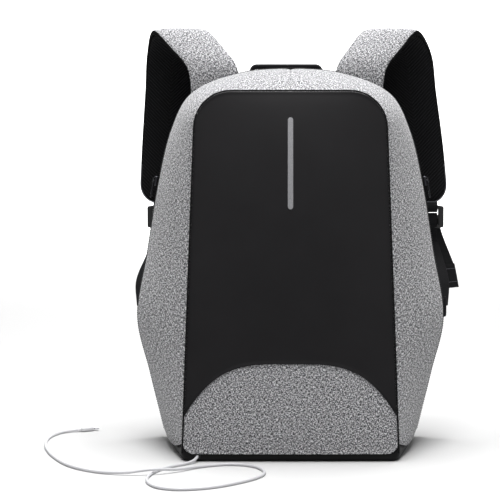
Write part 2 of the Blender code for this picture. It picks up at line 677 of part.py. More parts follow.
def make_strap(suffix, side):
    """A padded strap, its lining, the stub, lock, webbing, tail and lower anchor."""
    centres = strap_route(suffix, side)
    across = np.tile((1.0, 0.0, 0.0), (len(centres), 1))
    band_object("strap_pad_" + suffix, centres, across, strap_widths(len(centres)),
                STRAP_PAD_THICK, (STRAP_PAD_THICK + STRAP_LAYER_GAP) / 2, GREY_FABRIC)
    band_object("strap_lining_" + suffix, centres, across, strap_widths(len(centres)),
                STRAP_LINING_THICK, -(STRAP_LINING_THICK + STRAP_LAYER_GAP) / 2, BLACK_MESH)

    end = centres[-1]
    lock_x = side * LOCK_X[suffix]
    lock_y = STRAP_BACK - 0.0105
    lock_top = STRAP_END_Z - 0.0105
    stub_ends = np.array(((lock_x, lock_y, end[2] - 0.0012), (lock_x, lock_y, lock_top + 0.0010)))
    stub = evenly_spaced(stub_ends, 5)
    band_object("strap_stub_" + suffix, stub, across[:5], np.full(5, WEBBING_HALF),
                WEBBING_THICK, 0.0, BLACK_WEBBING)

    bar = 0.0042
    slot = (LOCK_LENGTH - 3 * bar) / 2
    rim = rounded_outline(((-LOCK_HALF, -LOCK_LENGTH), (LOCK_HALF, -LOCK_LENGTH), (LOCK_HALF, 0),
                           (-LOCK_HALF, 0)), (0.003,) * 4, 4)
    holes = []
    for k in range(2):
        high = -bar - k * (slot + bar)
        holes.append(((-LOCK_HALF + bar, high - slot), (LOCK_HALF - bar, high - slot),
                      (LOCK_HALF - bar, high), (-LOCK_HALF + bar, high)))
    plate_object("ladder_lock_" + suffix, [rim] + holes, LOCK_THICK, BLACK_PLASTIC,
                 (lock_x, lock_y, lock_top), (math.pi / 2, 0, 0))

    route = lower_route(suffix, side)
    turn = np.linspace(0.15, 1.15, len(route))
    twist = np.stack((np.cos(turn), np.sin(turn) * side, 0 * turn), axis=1)
    band_object("lower_webbing_" + suffix, route, twist, np.full(len(route), WEBBING_HALF),
                WEBBING_THICK, 0.0, BLACK_WEBBING)

    tail_top = np.array((lock_x, lock_y + LOCK_THICK / 2 + 0.0014, lock_top - 0.012))
    tail_end = tail_top + (side * 0.010, 0.004, -0.042)
    tail = smooth_route([tail_top, tail_top + (side * 0.004, 0.003, -0.020), tail_end], 8)
    turn = np.linspace(0.0, 0.75, len(tail))
    twist = np.stack((np.cos(turn), np.sin(turn) * side, 0 * turn), axis=1)
    band_object("webbing_tail_" + suffix, tail, twist, np.full(len(tail), WEBBING_HALF),
                WEBBING_THICK, 0.0, BLACK_WEBBING)
    stop = smooth_route([tail_end + (0, 0, -0.0004), tail_end + (side * 0.001, 0, -0.022)], 4)
    band_object("tail_stop_" + suffix, stop, twist[-4:], np.full(4, WEBBING_HALF + 0.0012),
                0.0030, 0.0, BLACK_WEBBING)

    inner = HIP_HALF - WING_WIDTH
    wing = ((inner, ANCHOR_Z - 0.020), (rear_half_at(ANCHOR_Z - 0.012) - 0.001, ANCHOR_Z - 0.012),
            (rear_half_at(ANCHOR_Z + 0.012) - 0.001, ANCHOR_Z + 0.012), (inner, ANCHOR_Z + 0.024))
    plate_object("anchor_wing_" + suffix, [[(side * x, z) for x, z in wing]], 0.0030, BLACK_FABRIC,
                 (0, PAD_Y + 0.0015, 0), (math.pi / 2, 0, 0))


def make_handle():
    """The grab handle: an arch of webbing just behind the panel's top edge, and its anchors."""
    y = PAD_Y + 0.0020 + HANDLE_WIDTH / 2
    low = BODY_HEIGHT - HANDLE_DROP
    top = BODY_HEIGHT + HANDLE_RISE - HANDLE_THICK / 2
    bend = 0.010
    leg = HANDLE_HALF - HANDLE_THICK / 2
    turn = np.linspace(0, math.pi / 2, 7)
    corner = np.stack((leg - bend + bend * np.cos(turn), np.full(len(turn), y),
                       top - bend + bend * np.sin(turn)), axis=1)
    half = np.vstack(((leg, y, low), corner))
    loop = np.vstack((half * (-1, 1, 1), half[::-1])) + (HANDLE_X, 0, 0)
    across = np.tile((0.0, 1.0, 0.0), (len(loop), 1))
    band_object("grab_handle", loop, across, np.full(len(loop), HANDLE_WIDTH / 2), HANDLE_THICK, 0.0,
                BLACK_WEBBING)
    for suffix, side in SIDES:
        box_object("handle_anchor_" + suffix, (0.020, 0.0022, 0.014),
                   (HANDLE_X + side * leg, PAD_Y + 0.0011, low - 0.0075), BLACK_WEBBING, 0.0008)


# ---- what is inside -----------------------------------------------------------------------------
BANK_POCKET_X = -0.064
BANK_POCKET_Y = -0.047
BANK_POCKET_HEIGHT = 0.085
POCKET_WALL = 0.0015
POCKET_EASE = 0.0040        # how much wider than the power bank its pocket is
ORGANISER_SIZE = (0.170, 0.012, 0.120)
ORGANISER_Y = -0.0320
ORGANISER_Z = 0.235
PLUG_SIZE = (0.0120, 0.0060, 0.0160)
PLUG_OFFSET = 0.014         # how far left of the power bank's middle its plug is


def make_inside():
    """The organiser, the power bank in its pocket, and the lead's stretch inside the bag."""
    pouch_object("organiser_pocket", ORGANISER_SIZE, (0, ORGANISER_Y, ORGANISER_Z), POCKET_WALL, LINING)
    pocket = (BANK_SIZE[0] + POCKET_EASE, BANK_SIZE[1] + POCKET_EASE, BANK_POCKET_HEIGHT)
    pocket_low = BASE_RIM + 0.004
    pouch_object("bank_pocket", pocket, (BANK_POCKET_X, BANK_POCKET_Y, pocket_low + pocket[2] / 2),
                 POCKET_WALL, LINING)
    bank_low = pocket_low + 0.001
    box_object("power_bank", BANK_SIZE, (BANK_POCKET_X, BANK_POCKET_Y, bank_low + BANK_SIZE[2] / 2),
               BLACK_PLASTIC, 0.004)
    bank_top = bank_low + BANK_SIZE[2]
    plug_x = BANK_POCKET_X - PLUG_OFFSET
    box_object("bank_plug", PLUG_SIZE, (plug_x, BANK_POCKET_Y, bank_top + GAP + PLUG_SIZE[2] / 2),
               WHITE_PLASTIC, 0.0012)
    plug_top = bank_top + GAP + PLUG_SIZE[2] + GAP
    outlet_y = -FRONT_BASE_Y + BASE_WALL / 2
    start = (OUTLET_X, LEAD_ROUTE[0][1] + LEAD_TILT * LEAD_RADIUS, OUTLET_Z)
    route = (start, (OUTLET_X, outlet_y + 0.010, OUTLET_Z), (OUTLET_X - 0.003, outlet_y + 0.034, 0.0085),
             (OUTLET_X - 0.004, outlet_y + 0.050, 0.028), (OUTLET_X + 0.001, outlet_y + 0.052, 0.080),
             (OUTLET_X + 0.008, outlet_y + 0.048, 0.128),
             (plug_x - 0.007, BANK_POCKET_Y + 0.008, plug_top + 0.022),
             (plug_x, BANK_POCKET_Y, plug_top + 0.016), (plug_x, BANK_POCKET_Y, plug_top))
    tube_object("inner_lead", smooth_route(route, 46), LEAD_RADIUS, WHITE_LEAD)


# The lead's way over the floor: out of the base, once round a loop that crosses itself, then away
# to the left and back beside the bag.
FLOOR = LEAD_RADIUS + 0.0002
LEAD_ROUTE = ((-0.1020, -0.0795, 0.0057), (-0.1028, -0.0835, 0.0052),
              (-0.1055, -0.0890, 0.0034), (-0.1140, -0.0985, FLOOR),
              (-0.1300, -0.1150, FLOOR), (-0.1430, -0.1380, FLOOR), (-0.1500, -0.1700, FLOOR),
              (-0.1470, -0.1990, FLOOR), (-0.1360, -0.2210, FLOOR), (-0.1150, -0.2310, FLOOR),
              (-0.0840, -0.2230, FLOOR), (-0.0540, -0.1980, FLOOR), (-0.0320, -0.1660, FLOOR),
              (-0.0280, -0.1400, FLOOR), (-0.0400, -0.1120, FLOOR), (-0.0650, -0.1010, FLOOR),
              (-0.0960, -0.1130, FLOOR), (-0.1220, -0.1370, 0.0034), (-0.1470, -0.1500, 0.0058),
              (-0.1750, -0.1520, 0.0030), (-0.2050, -0.1420, FLOOR), (-0.2360, -0.1130, FLOOR),
              (-0.2620, -0.0580, FLOOR), (-0.2790, 0.0080, FLOOR), (-0.2800, 0.0620, FLOOR),
              (-0.2680, 0.0930, FLOOR), (-0.2500, 0.1030, 0.0026))
LEAD_TILT = 0.40            # how far the lead's slanting end reaches back, in radii
CONNECTOR_LENGTH = 0.0160
TIP_SIZE = (0.0066, 0.0064, 0.0018)


def make_lead():
    """The charging lead on the floor, with the connector that goes into a phone."""
    points = smooth_route(LEAD_ROUTE, 80)
    tube_object("charging_lead", points, LEAD_RADIUS, WHITE_LEAD)
    end = points[-1]
    heading = math.atan2(*(points[-1] - points[-3])[1::-1])
    away = np.array((math.cos(heading), math.sin(heading), 0.0))
    height = np.array((0.0, 0.0, 0.0028 - end[2]))
    grip = box_object("phone_connector", (CONNECTOR_LENGTH, 0.0080, 0.0050),
                      end + height + away * (CONNECTOR_LENGTH / 2 + GAP + 0.0004), WHITE_PLASTIC, 0.0012)
    grip.rotation_euler = (0.0, 0.0, heading)
    reach = CONNECTOR_LENGTH + 2 * GAP + 0.0004 + TIP_SIZE[0] / 2
    tip = box_object("connector_tip", TIP_SIZE, end + height + away * reach, BRIGHT_METAL, 0.0004)
    tip.rotation_euler = (0.0, 0.0, heading)


# ---- the build ----------------------------------------------------------------------------------
clear_scene()
BAG = new_collection("charging_backpack")
CUTTERS = new_collection("cutters")
SIDES = (("left", -1), ("right", 1))

GREY_FABRIC = material("grey_melange_fabric", "8f8f91", 0.9)
DARK_FABRIC = material("dark_coated_fabric", "2b292c", 0.6)
BLACK_FABRIC = material("black_fabric", "161617", 0.85)
BLACK_MESH = material("black_spacer_mesh", "0c0c0e", 0.9)
BLACK_WEBBING = material("black_webbing", "131314", 0.75)
BLACK_TRIM = material("black_piping", "101011", 0.5)
BLACK_BASE = material("black_base_fabric", "121213", 0.7)
BLACK_PLASTIC = material("black_plastic", "151516", 0.4)
RUBBER = material("black_rubber", "1a1a1b", 0.7)
LINING = material("grey_lining", "5c5c60", 0.85)
REFLECTIVE = material("reflective_tape", "8c8c8e", 0.35)
DARK_METAL = material("dark_metal", "2a2a2c", 0.35, 1.0)
BRIGHT_METAL = material("bright_metal", "c8c8cc", 0.25, 1.0)
WHITE_PLASTIC = material("white_plastic", "eeeeee", 0.35)
WHITE_LEAD = material("white_lead", "f2f2f2", 0.45)

make_front()
make_base()
make_outlet()
zip_band("zip_tape_shell", ZIP_SHELL_Y, BLACK_TRIM)
zip_band("zip_tape_back", ZIP_BACK_Y, BLACK_TRIM)
make_back_panel()
for label, sign in SIDES:
    make_gusset("gusset_" + label, sign, GREY_FABRIC)
    make_slider(label, sign)
    make_strap(label, sign)
make_handle()
make_inside()
make_lead()
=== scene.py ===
import contextlib
import math

import bmesh
import bpy
import numpy as np
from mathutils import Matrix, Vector


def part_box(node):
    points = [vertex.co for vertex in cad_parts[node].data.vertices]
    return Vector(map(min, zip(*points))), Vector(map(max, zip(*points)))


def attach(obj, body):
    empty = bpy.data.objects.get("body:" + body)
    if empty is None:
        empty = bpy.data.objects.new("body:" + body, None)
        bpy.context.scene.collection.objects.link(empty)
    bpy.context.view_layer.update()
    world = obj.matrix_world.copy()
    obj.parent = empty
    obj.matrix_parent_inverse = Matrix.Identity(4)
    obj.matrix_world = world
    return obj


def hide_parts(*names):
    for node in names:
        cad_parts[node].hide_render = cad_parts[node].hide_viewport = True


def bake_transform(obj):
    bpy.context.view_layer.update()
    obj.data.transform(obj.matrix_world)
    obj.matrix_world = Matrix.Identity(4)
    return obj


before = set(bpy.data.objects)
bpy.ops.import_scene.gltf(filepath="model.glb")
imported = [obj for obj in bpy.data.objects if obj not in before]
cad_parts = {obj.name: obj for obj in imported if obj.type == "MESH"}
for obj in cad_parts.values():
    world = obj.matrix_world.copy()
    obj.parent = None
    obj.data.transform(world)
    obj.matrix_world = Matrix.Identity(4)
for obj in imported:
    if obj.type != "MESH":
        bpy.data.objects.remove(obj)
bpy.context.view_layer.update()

# %% [markdown]
# # A charging backpack, finished over its CAD frame
#
# The frame holds every solid at its true size, already on the body that it moves with. This lesson
# gives each of them the surface that the real bag has. The bag stands on its base at the origin,
# its front faces -Y and its straps are behind it, at +Y.
#
# Almost everything here is a sheet: a function of two parameters, worked out with numpy as one
# array and put into a mesh in one call. That keeps a seam, a swelling or a pucker a term in a
# formula, which is easy to read and easy to change.

# %% Measures of lines and solids
SIDES = (("left", -1), ("right", 1))


def length_of(line):
    """The length of a polyline."""
    return float(np.linalg.norm(np.diff(line, axis=0), axis=1).sum())


def unit(vectors):
    """Each row of an array of vectors, made one long."""
    return vectors / np.linalg.norm(vectors, axis=1)[:, None]


def full_turn(count):
    """Angles at even steps round a circle, without the last, which is the first again."""
    return np.linspace(0, 2 * math.pi, count, endpoint=False)


def evenly_spaced(points, count):
    """A polyline read again at equal steps of its own length."""
    steps = np.linalg.norm(np.diff(points, axis=0), axis=1)
    along = np.concatenate(([0.0], np.cumsum(steps)))
    wanted = np.linspace(0.0, along[-1], count)
    return np.stack([np.interp(wanted, along, column) for column in points.T], axis=1)


def closed_loop(points, count):
    """A closed polyline as evenly spaced points, the first of them not repeated at the end."""
    return evenly_spaced(np.vstack((points, points[:1])), count + 1)[:-1]


def box_of(node):
    """Two opposite corners of a solid's box, as arrays."""
    return tuple(np.array(corner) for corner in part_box(node))


# %% Sheets from grids
def running_length(points):
    """A map in metres: u and v are the mean lengths run along the rows and the columns so far."""
    along = np.linalg.norm(np.diff(points, axis=0), axis=2).mean(axis=1)
    across = np.linalg.norm(np.diff(points, axis=1), axis=2).mean(axis=0)
    u = np.concatenate(([0.0], np.cumsum(along)))
    v = np.concatenate(([0.0], np.cumsum(across)))
    return np.stack(np.meshgrid(u, v, indexing="ij"), axis=-1)


def grid_mesh(name, points, uv=None, around=False):
    """A mesh from an (n, m, 3) array: quads join each row to the next, and each point to its right.

    around joins the last column to the first. uv is an array like points with two numbers, in
    metres along the cloth; left out, it is the running length of the middle row and column.
    """
    rows, columns = points.shape[:2]
    if uv is None:
        uv = running_length(np.concatenate((points, points[:, :1]), axis=1) if around else points)
    width = columns if around else columns - 1
    i, j = np.meshgrid(np.arange(rows - 1), np.arange(width), indexing="ij")
    right = (j + 1) % columns
    quads = np.stack((i * columns + j, (i + 1) * columns + j,
                      (i + 1) * columns + right, i * columns + right), axis=-1).reshape(-1, 4)
    wide = uv.shape[1]
    spots = np.stack((i * wide + j, (i + 1) * wide + j,
                      (i + 1) * wide + j + 1, i * wide + j + 1), axis=-1).reshape(-1, 4)
    mesh = bpy.data.meshes.new(name)
    mesh.from_pydata(points.reshape(-1, 3).tolist(), [], quads.tolist())
    layer = mesh.uv_layers.new(name="cloth")
    layer.data.foreach_set("uv", uv.reshape(-1, 2)[spots.reshape(-1)].astype(np.float32).reshape(-1))
    mesh.shade_smooth()
    return mesh


@contextlib.contextmanager
def editing(mesh):
    """A mesh opened for editing, written back and closed at the end."""
    work = bmesh.new()
    work.from_mesh(mesh)
    yield work
    work.to_mesh(mesh)
    work.free()


def close_ends(mesh, highest=math.inf):
    """Fill the open ends of a tube below a height with one face each, and turn every face outward."""
    with editing(mesh) as work:
        open_edges = [edge for edge in work.edges if edge.is_boundary and edge.verts[0].co.z < highest]
        bmesh.ops.holes_fill(work, edges=open_edges, sides=0)
        bmesh.ops.recalc_face_normals(work, faces=work.faces)
    return mesh


def solid(name, grid, uv=None):
    """A closed tube, strap or slab: a grid whose columns go round it, with both ends filled."""
    return close_ends(grid_mesh(name, grid, uv=uv, around=True))


def face_away(mesh, inside):
    """Turn the faces of an open sheet away from a point inside the bag."""
    with editing(mesh) as work:
        work.normal_update()
        facing = sum(face.normal.dot(face.calc_center_median() - Vector(inside)) for face in work.faces)
        if facing < 0:
            bmesh.ops.reverse_faces(work, faces=work.faces)
    return mesh


def vertex_array(mesh):
    """All the vertices of a mesh as an (n, 3) array."""
    points = np.empty(len(mesh.vertices) * 3, np.float32)
    mesh.vertices.foreach_get("co", points)
    return points.reshape(-1, 3).astype(float)


def place_vertices(obj, points):
    """Move all the vertices of an object's mesh."""
    obj.data.vertices.foreach_set("co", points.astype(np.float32).reshape(-1))


# %% Pieces and the bodies they ride on
def piece(mesh, materials, body, *nodes):
    """A finished object named after its mesh: its materials, its body and the solids it hides.

    A piece that will be blended between two bodies is given no body here.
    """
    obj = bpy.data.objects.new(mesh.name, mesh)
    bpy.context.scene.collection.objects.link(obj)
    for mat in materials:
        mesh.materials.append(mat)
    if body:
        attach(obj, body)
    if nodes:
        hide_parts(*nodes)
    return obj


def finish_node(name, mat):
    """Give a solid of the frame, whose shape is kept, its finished material."""
    slots = bpy.data.objects[name].data.materials
    slots.clear()
    slots.append(mat)


def wall(obj, thick, inner_slot=0):
    """Give an open sheet its thickness, inward, with another material on its inner face."""
    shell = obj.modifiers.new("wall", "SOLIDIFY")
    shell.thickness = thick
    shell.offset = -1.0
    shell.material_offset = inner_slot
    return obj


# %% [markdown]
# ## The camera
#
# The bag is seen from just above its middle by a long lens from about two metres, which keeps its
# sides nearly parallel. A small sideways shift leaves room at the left for the lead.

# %% Camera
CAMERA_DISTANCE = 2.2
CAMERA_HEIGHT = 0.42
CAMERA_TILT = math.radians(5.04)
SENSOR = 36.0
camera_data = bpy.data.cameras.new("camera")
camera_data.sensor_width = SENSOR
camera_data.lens = 141.3
camera_data.shift_x = -0.081
camera = bpy.data.objects.new("camera", camera_data)
camera.location = (0.0, -CAMERA_DISTANCE, CAMERA_HEIGHT)
camera.rotation_euler = (math.pi / 2 - CAMERA_TILT, 0.0, 0.0)
bpy.context.scene.collection.objects.link(camera)
bpy.context.scene.camera = camera

# %% [markdown]
# ## Colour and material helpers
#
# Colours are read as sRGB hex and turned to linear by one function. A material is a Principled
# shader with patterns in front of it, so one small helper that adds a node, sets it and links it
# keeps each recipe short.

# %% Materials from nodes
def linear(hex_colour):
    """An sRGB hex colour as linear red, green, blue and alpha."""
    values = np.array([int(hex_colour[i:i + 2], 16) for i in (0, 2, 4)]) / 255
    values = np.where(values <= 0.04045, values / 12.92, ((values + 0.055) / 1.055) ** 2.4)
    return (*values.tolist(), 1.0)


def add(tree, kind, inputs=None, **settings):
    """Add a node, set its options, and give each input a value or a link."""
    made = tree.nodes.new(kind)
    for key, value in settings.items():
        setattr(made, key, value)
    for key, value in (inputs or {}).items():
        if isinstance(value, bpy.types.NodeSocket):
            tree.links.new(value, made.inputs[key])
        else:
            made.inputs[key].default_value = value
    return made


def start_material(name, roughness, **sockets):
    """A new material with its shader's own sockets set. Returns material, tree and shader."""
    mat = bpy.data.materials.new(name)
    mat.use_nodes = True
    tree = mat.node_tree
    shader = tree.nodes["Principled BSDF"]
    shader.inputs["Roughness"].default_value = roughness
    for key, value in sockets.items():
        shader.inputs[key.replace("_", " ")].default_value = value
    return mat, tree, shader


def scaled_uv(tree, across_mm, along_mm, turn=0.0):
    """The cloth's own coordinates, counted in pattern repeats of the given size."""
    place = add(tree, "ShaderNodeUVMap", uv_map="cloth")
    return add(tree, "ShaderNodeMapping", {"Vector": place.outputs["UV"], "Rotation": (0, 0, turn),
               "Scale": (1000 / across_mm, 1000 / along_mm, 1.0)}).outputs["Vector"]


def math_of(tree, operation, a, b=0.0, c=0.0):
    """One step of arithmetic on sockets or numbers."""
    return add(tree, "ShaderNodeMath", {0: a, 1: b, 2: c}, operation=operation).outputs[0]


def colour_between(tree, factor, stops):
    """A ramp of (position, hex colour) stops read at a factor."""
    ramp = add(tree, "ShaderNodeValToRGB", {"Fac": factor})
    elements = ramp.color_ramp.elements
    for element, (position, colour) in zip(elements, (stops[0], stops[-1])):
        element.position = position
        element.color = linear(colour)
    for position, colour in stops[1:-1]:
        elements.new(position).color = linear(colour)
    return ramp.outputs["Color"]


def paint(tree, shader, factor, *stops):
    """Colour a shader by a ramp of stops read at a factor."""
    tree.links.new(colour_between(tree, factor, stops), shader.inputs["Base Color"])


def noise(tree, place, scale=1.0, **more):
    """A noise over a place, from 0 to 1."""
    return add(tree, "ShaderNodeTexNoise", {"Vector": place, "Scale": scale, **more}).outputs["Fac"]


def mixture(tree, *parts):
    """A weighted sum of (socket, weight) parts."""
    total = 0.0
    for socket, weight in parts:
        total = math_of(tree, "MULTIPLY_ADD", socket, weight, total)
    return total


def relief(tree, shader, height, depth_mm, strength=1.0):
    """Bump from a height that runs from 0 to 1 over the given depth."""
    bump = add(tree, "ShaderNodeBump", {"Height": height, "Distance": depth_mm / 1000,
               "Strength": strength})
    tree.links.new(bump.outputs["Normal"], shader.inputs["Normal"])


# %% [markdown]
# ## Melange polyester
#
# The grey cloth is a plain weave of yarns spun from light and dark fibres. Each yarn changes shade
# along its length, so the eye sees short light and dark dashes in two directions, under a
# millimetre wide and a few long. Two noises, each stretched along one set of yarns, give the
# dashes, a third gives the fleck of loose fibres, and a fine wave raises one yarn over the next.

# %% Grey melange
def melange(name, dark, middle, light):
    """Two sets of dashed yarns and a fleck; the yarns are drawn 0.7 mm thick so that they show."""
    mat, tree, shader = start_material(name, 0.92, Specular_IOR_Level=0.25, Sheen_Weight=0.25,
                                       Sheen_Roughness=0.5)
    weft, warp = (noise(tree, scaled_uv(tree, *size), Detail=1.0, Roughness=0.65)
                  for size in ((2.7, 0.72), (0.72, 2.7)))
    fleck = noise(tree, scaled_uv(tree, 1.1, 1.1))
    shade = mixture(tree, (weft, 0.36), (warp, 0.36), (fleck, 0.28))
    paint(tree, shader, shade, (0.425, dark), (0.50, middle), (0.575, light))
    pick = add(tree, "ShaderNodeTexWave", {"Vector": scaled_uv(tree, 1.1, 1.1), "Scale": 0.5})
    relief(tree, shader, mixture(tree, (pick.outputs["Fac"], 0.4), (shade, 1.0)), 0.25, 0.6)
    return mat


MELANGE = melange("grey_melange_polyester", "232325", "6f6f72", "dcdcde")

# %% [markdown]
# ## Coated polyester
#
# The front is a smooth cloth with a thin polyurethane skin. It is nearly black, hardly shows its
# weave, and catches the overhead light as a soft bloom at grazing angles.

# %% Coated front and base
def coated(name, colour, lighter, roughness, grain_mm, depth_mm):
    """Fine leather-like grain from one noise, in the colour a little and in the relief more."""
    mat, tree, shader = start_material(name, roughness, Specular_IOR_Level=0.18, Sheen_Weight=0.02,
                                       Sheen_Roughness=0.35)
    grain = noise(tree, scaled_uv(tree, grain_mm, grain_mm), Detail=3.0)
    cloud = noise(tree, scaled_uv(tree, 60.0, 60.0))
    paint(tree, shader, mixture(tree, (grain, 0.6), (cloud, 0.4)), (0.35, colour), (0.65, lighter))
    relief(tree, shader, grain, depth_mm, 0.5)
    return mat


COATED_FRONT = coated("coated_polyester_front", "0f0e10", "161517", 0.48, 0.9, 0.12)
COATED_BASE = coated("coated_polyester_base", "070708", "0d0d0e", 0.6, 1.2, 0.2)
LINING = coated("nylon_lining", "4c4c50", "5a5a5f", 0.75, 0.8, 0.1)


# %% [markdown]
# ## Webbing, binding and mesh
#
# Webbing is a thick narrow weave: ribs cross it about every 1.5 mm, and the edges are plain. The
# strap lining is a knitted spacer mesh whose ribs run as chevrons, so its pattern is a sine of
# the length plus the distance from the strap's middle line.

# %% Ribbed and chevron cloths
def webbing(name, colour, rib_tone_and_highlight, rib_mm):
    """Ribs across the strap, broken up by a fine noise along each rib."""
    mat, tree, shader = start_material(name, 0.8, Specular_IOR_Level=0.15)
    place = add(tree, "ShaderNodeSeparateXYZ", {0: scaled_uv(tree, rib_mm, 1.0)})
    wave = math_of(tree, "SINE", math_of(tree, "MULTIPLY", place.outputs[0], math.pi))
    rib = math_of(tree, "ABSOLUTE", wave)
    yarn = noise(tree, scaled_uv(tree, 0.7, 0.5))
    height = mixture(tree, (rib, 1.0), (yarn, 0.5))
    paint(tree, shader, height, (0.3, colour), (1.0, rib_tone_and_highlight))
    relief(tree, shader, height, 0.35, 0.8)
    return mat


def scaled_back_view(tree, across_mm, along_mm):
    """Width and height on the back of the bag, from Object coordinates, in pattern repeats."""
    place = add(tree, "ShaderNodeTexCoord")
    axes = add(tree, "ShaderNodeSeparateXYZ", {0: place.outputs["Object"]})
    flat = add(tree, "ShaderNodeCombineXYZ", {0: axes.outputs[0], 1: axes.outputs[2]})
    return add(tree, "ShaderNodeMapping", {"Vector": flat.outputs[0],
               "Scale": (1000 / across_mm, 1000 / along_mm, 1.0)}).outputs["Vector"]


def chevron_mesh(name, colour, rib_tone_and_highlight, rib_mm, scaled=scaled_uv):
    """Diagonal ribs that meet on the middle line, over a fine knit of small holes, in painted highlight
    and shade.
    """
    mat, tree, shader = start_material(name, 0.8, Specular_IOR_Level=0.12)
    place = add(tree, "ShaderNodeSeparateXYZ", {0: scaled(tree, 1.0, 1.0)})
    slant = math_of(tree, "ADD", place.outputs[0], math_of(tree, "ABSOLUTE", place.outputs[1]))
    rib = math_of(tree, "SINE", math_of(tree, "MULTIPLY", slant, 2 * math.pi / rib_mm))
    knit = add(tree, "ShaderNodeTexVoronoi", {"Vector": scaled(tree, 1.3, 1.3), "Scale": 1.0})
    height = mixture(tree, (rib, 0.5), (knit.outputs["Distance"], 0.5))
    # The colour follows the height: rib tops are painted lighter as a highlight, and grooves and knit
    # holes are painted darker as shade.
    paint(tree, shader, height, (0.05, colour), (0.9, rib_tone_and_highlight))
    relief(tree, shader, height, 0.6, 0.8)
    return mat


WEBBING = webbing("polyester_webbing", "060607", "161618", 1.6)
BINDING = webbing("grosgrain_binding", "040405", "0e0e0f", 1.0)
# The second, lighter colour of each mesh is the painted highlight on its rib tops.
SPACER_MESH = chevron_mesh("knitted_spacer_mesh", "020203", "1a1a1c", 4.2)
PAD_MESH = chevron_mesh("knitted_pad_mesh", "08080a", "26262a", 5.0, scaled_back_view)


# %% [markdown]
# ## Plastics, metal and rubber

# %% Hard materials
def moulded(name, colour, roughness, grain_mm=0.8, metallic=0.0, **sockets):
    """A moulded or plated part: one colour with a fine texture from its mould or its plating."""
    mat, tree, shader = start_material(name, roughness, Metallic=metallic, **sockets)
    place = add(tree, "ShaderNodeTexCoord")
    grain = noise(tree, place.outputs["Object"], 1000 / grain_mm, Detail=2.0)
    shader.inputs["Base Color"].default_value = linear(colour)
    rough = add(tree, "ShaderNodeMapRange", {"Value": grain, "To Min": roughness - 0.05,
                "To Max": roughness + 0.06})
    tree.links.new(rough.outputs["Result"], shader.inputs["Roughness"])
    relief(tree, shader, grain, 0.03, 0.4)
    return mat


ACETAL = moulded("moulded_acetal", "121214", 0.38)
RUBBER = moulded("moulded_rubber", "161617", 0.7)
ZIP_NYLON = moulded("nylon_zip_coil", "101012", 0.4)
GUNMETAL = moulded("gunmetal_plated_zinc", "3a3a3e", 0.3, metallic=1.0)
NICKEL = moulded("nickel_plated_steel", "c9c9cd", 0.22, metallic=1.0)
LEAD_TPE = moulded("white_lead_jacket", "c4c4c7", 0.42, Specular_IOR_Level=0.5)
WHITE_ABS = moulded("white_abs_moulding", "d4d4d6", 0.3, Coat_Weight=0.2)
THREAD = moulded("polyester_thread", "55555a", 0.8)
BEADS_PER_METRE = 1400.0


def reflective_tape():
    """Glass beads on a grey film: tiny bright specks over a smooth satin grey."""
    mat, tree, shader = start_material("retroreflective_tape", 0.35, Metallic=0.35)
    place = add(tree, "ShaderNodeTexCoord")
    beads = add(tree, "ShaderNodeTexVoronoi", {"Vector": place.outputs["Object"],
                "Scale": BEADS_PER_METRE})
    paint(tree, shader, beads.outputs["Distance"], (0.0, "a2a2a4"), (0.7, "838386"))
    relief(tree, shader, beads.outputs["Distance"], 0.02, 0.3)
    return mat


REFLECTIVE = reflective_tape()

# %% [markdown]
# ## The charging lead
#
# The lead leaves a grommet in the base, drops to the floor, makes one loop over itself and then
# runs away to the left and back beside the bag. Its route is a short list of given points, and a
# centripetal Catmull-Rom curve through them: unlike a plain one, it never overshoots where points
# are close together. The round jacket is a tube carried along that curve.

# %% Smooth curves through chosen points
def directions(route):
    """Unit directions along a route."""
    return unit(np.gradient(route, axis=0))


def smooth_route(points, count):
    """Evenly spaced points on a centripetal Catmull-Rom curve through the given points.

    Each span blends straight lines twice over, with a clock that runs by the root of the distance.
    """
    knots = np.array(points, float)
    knots = np.vstack((2 * knots[0] - knots[1], knots, 2 * knots[-1] - knots[-2]))
    spans = []
    for p0, p1, p2, p3 in zip(knots, knots[1:], knots[2:], knots[3:]):
        t0 = 0.0
        t1 = t0 + np.linalg.norm(p1 - p0) ** 0.5
        t2 = t1 + np.linalg.norm(p2 - p1) ** 0.5
        t3 = t2 + np.linalg.norm(p3 - p2) ** 0.5
        t = np.linspace(t1, t2, 24, endpoint=False)[:, None]
        a1 = (t1 - t) / (t1 - t0) * p0 + (t - t0) / (t1 - t0) * p1
        a2 = (t2 - t) / (t2 - t1) * p1 + (t - t1) / (t2 - t1) * p2
        a3 = (t3 - t) / (t3 - t2) * p2 + (t - t2) / (t3 - t2) * p3
        b1 = (t2 - t) / (t2 - t0) * a1 + (t - t0) / (t2 - t0) * a2
        b2 = (t3 - t) / (t3 - t1) * a2 + (t - t1) / (t3 - t1) * a3
        spans.append((t2 - t) / (t2 - t1) * b1 + (t - t1) / (t2 - t1) * b2)
    return evenly_spaced(np.vstack(spans + [knots[-2][None]]), count)


def tube_grid(route, radius, sides=16):
    """A round section at each point of a route: centre plus radius times cosine and sine.

    The section's two axes are square to the route, the first of them as level as it can be.
    radius may be one number or one for each point.
    """
    tangent = directions(route)
    guide = np.where(np.abs(tangent[:, 2:]) > 0.9, (1.0, 0.0, 0.0), (0.0, 0.0, 1.0))
    level = unit(np.cross(tangent, guide))
    rise = np.cross(level, tangent)
    turn = full_turn(sides)[None, :, None]
    size = np.broadcast_to(np.asarray(radius, float), len(route))[:, None, None]
    return route[:, None] + size * (np.cos(turn) * level[:, None] + np.sin(turn) * rise[:, None])


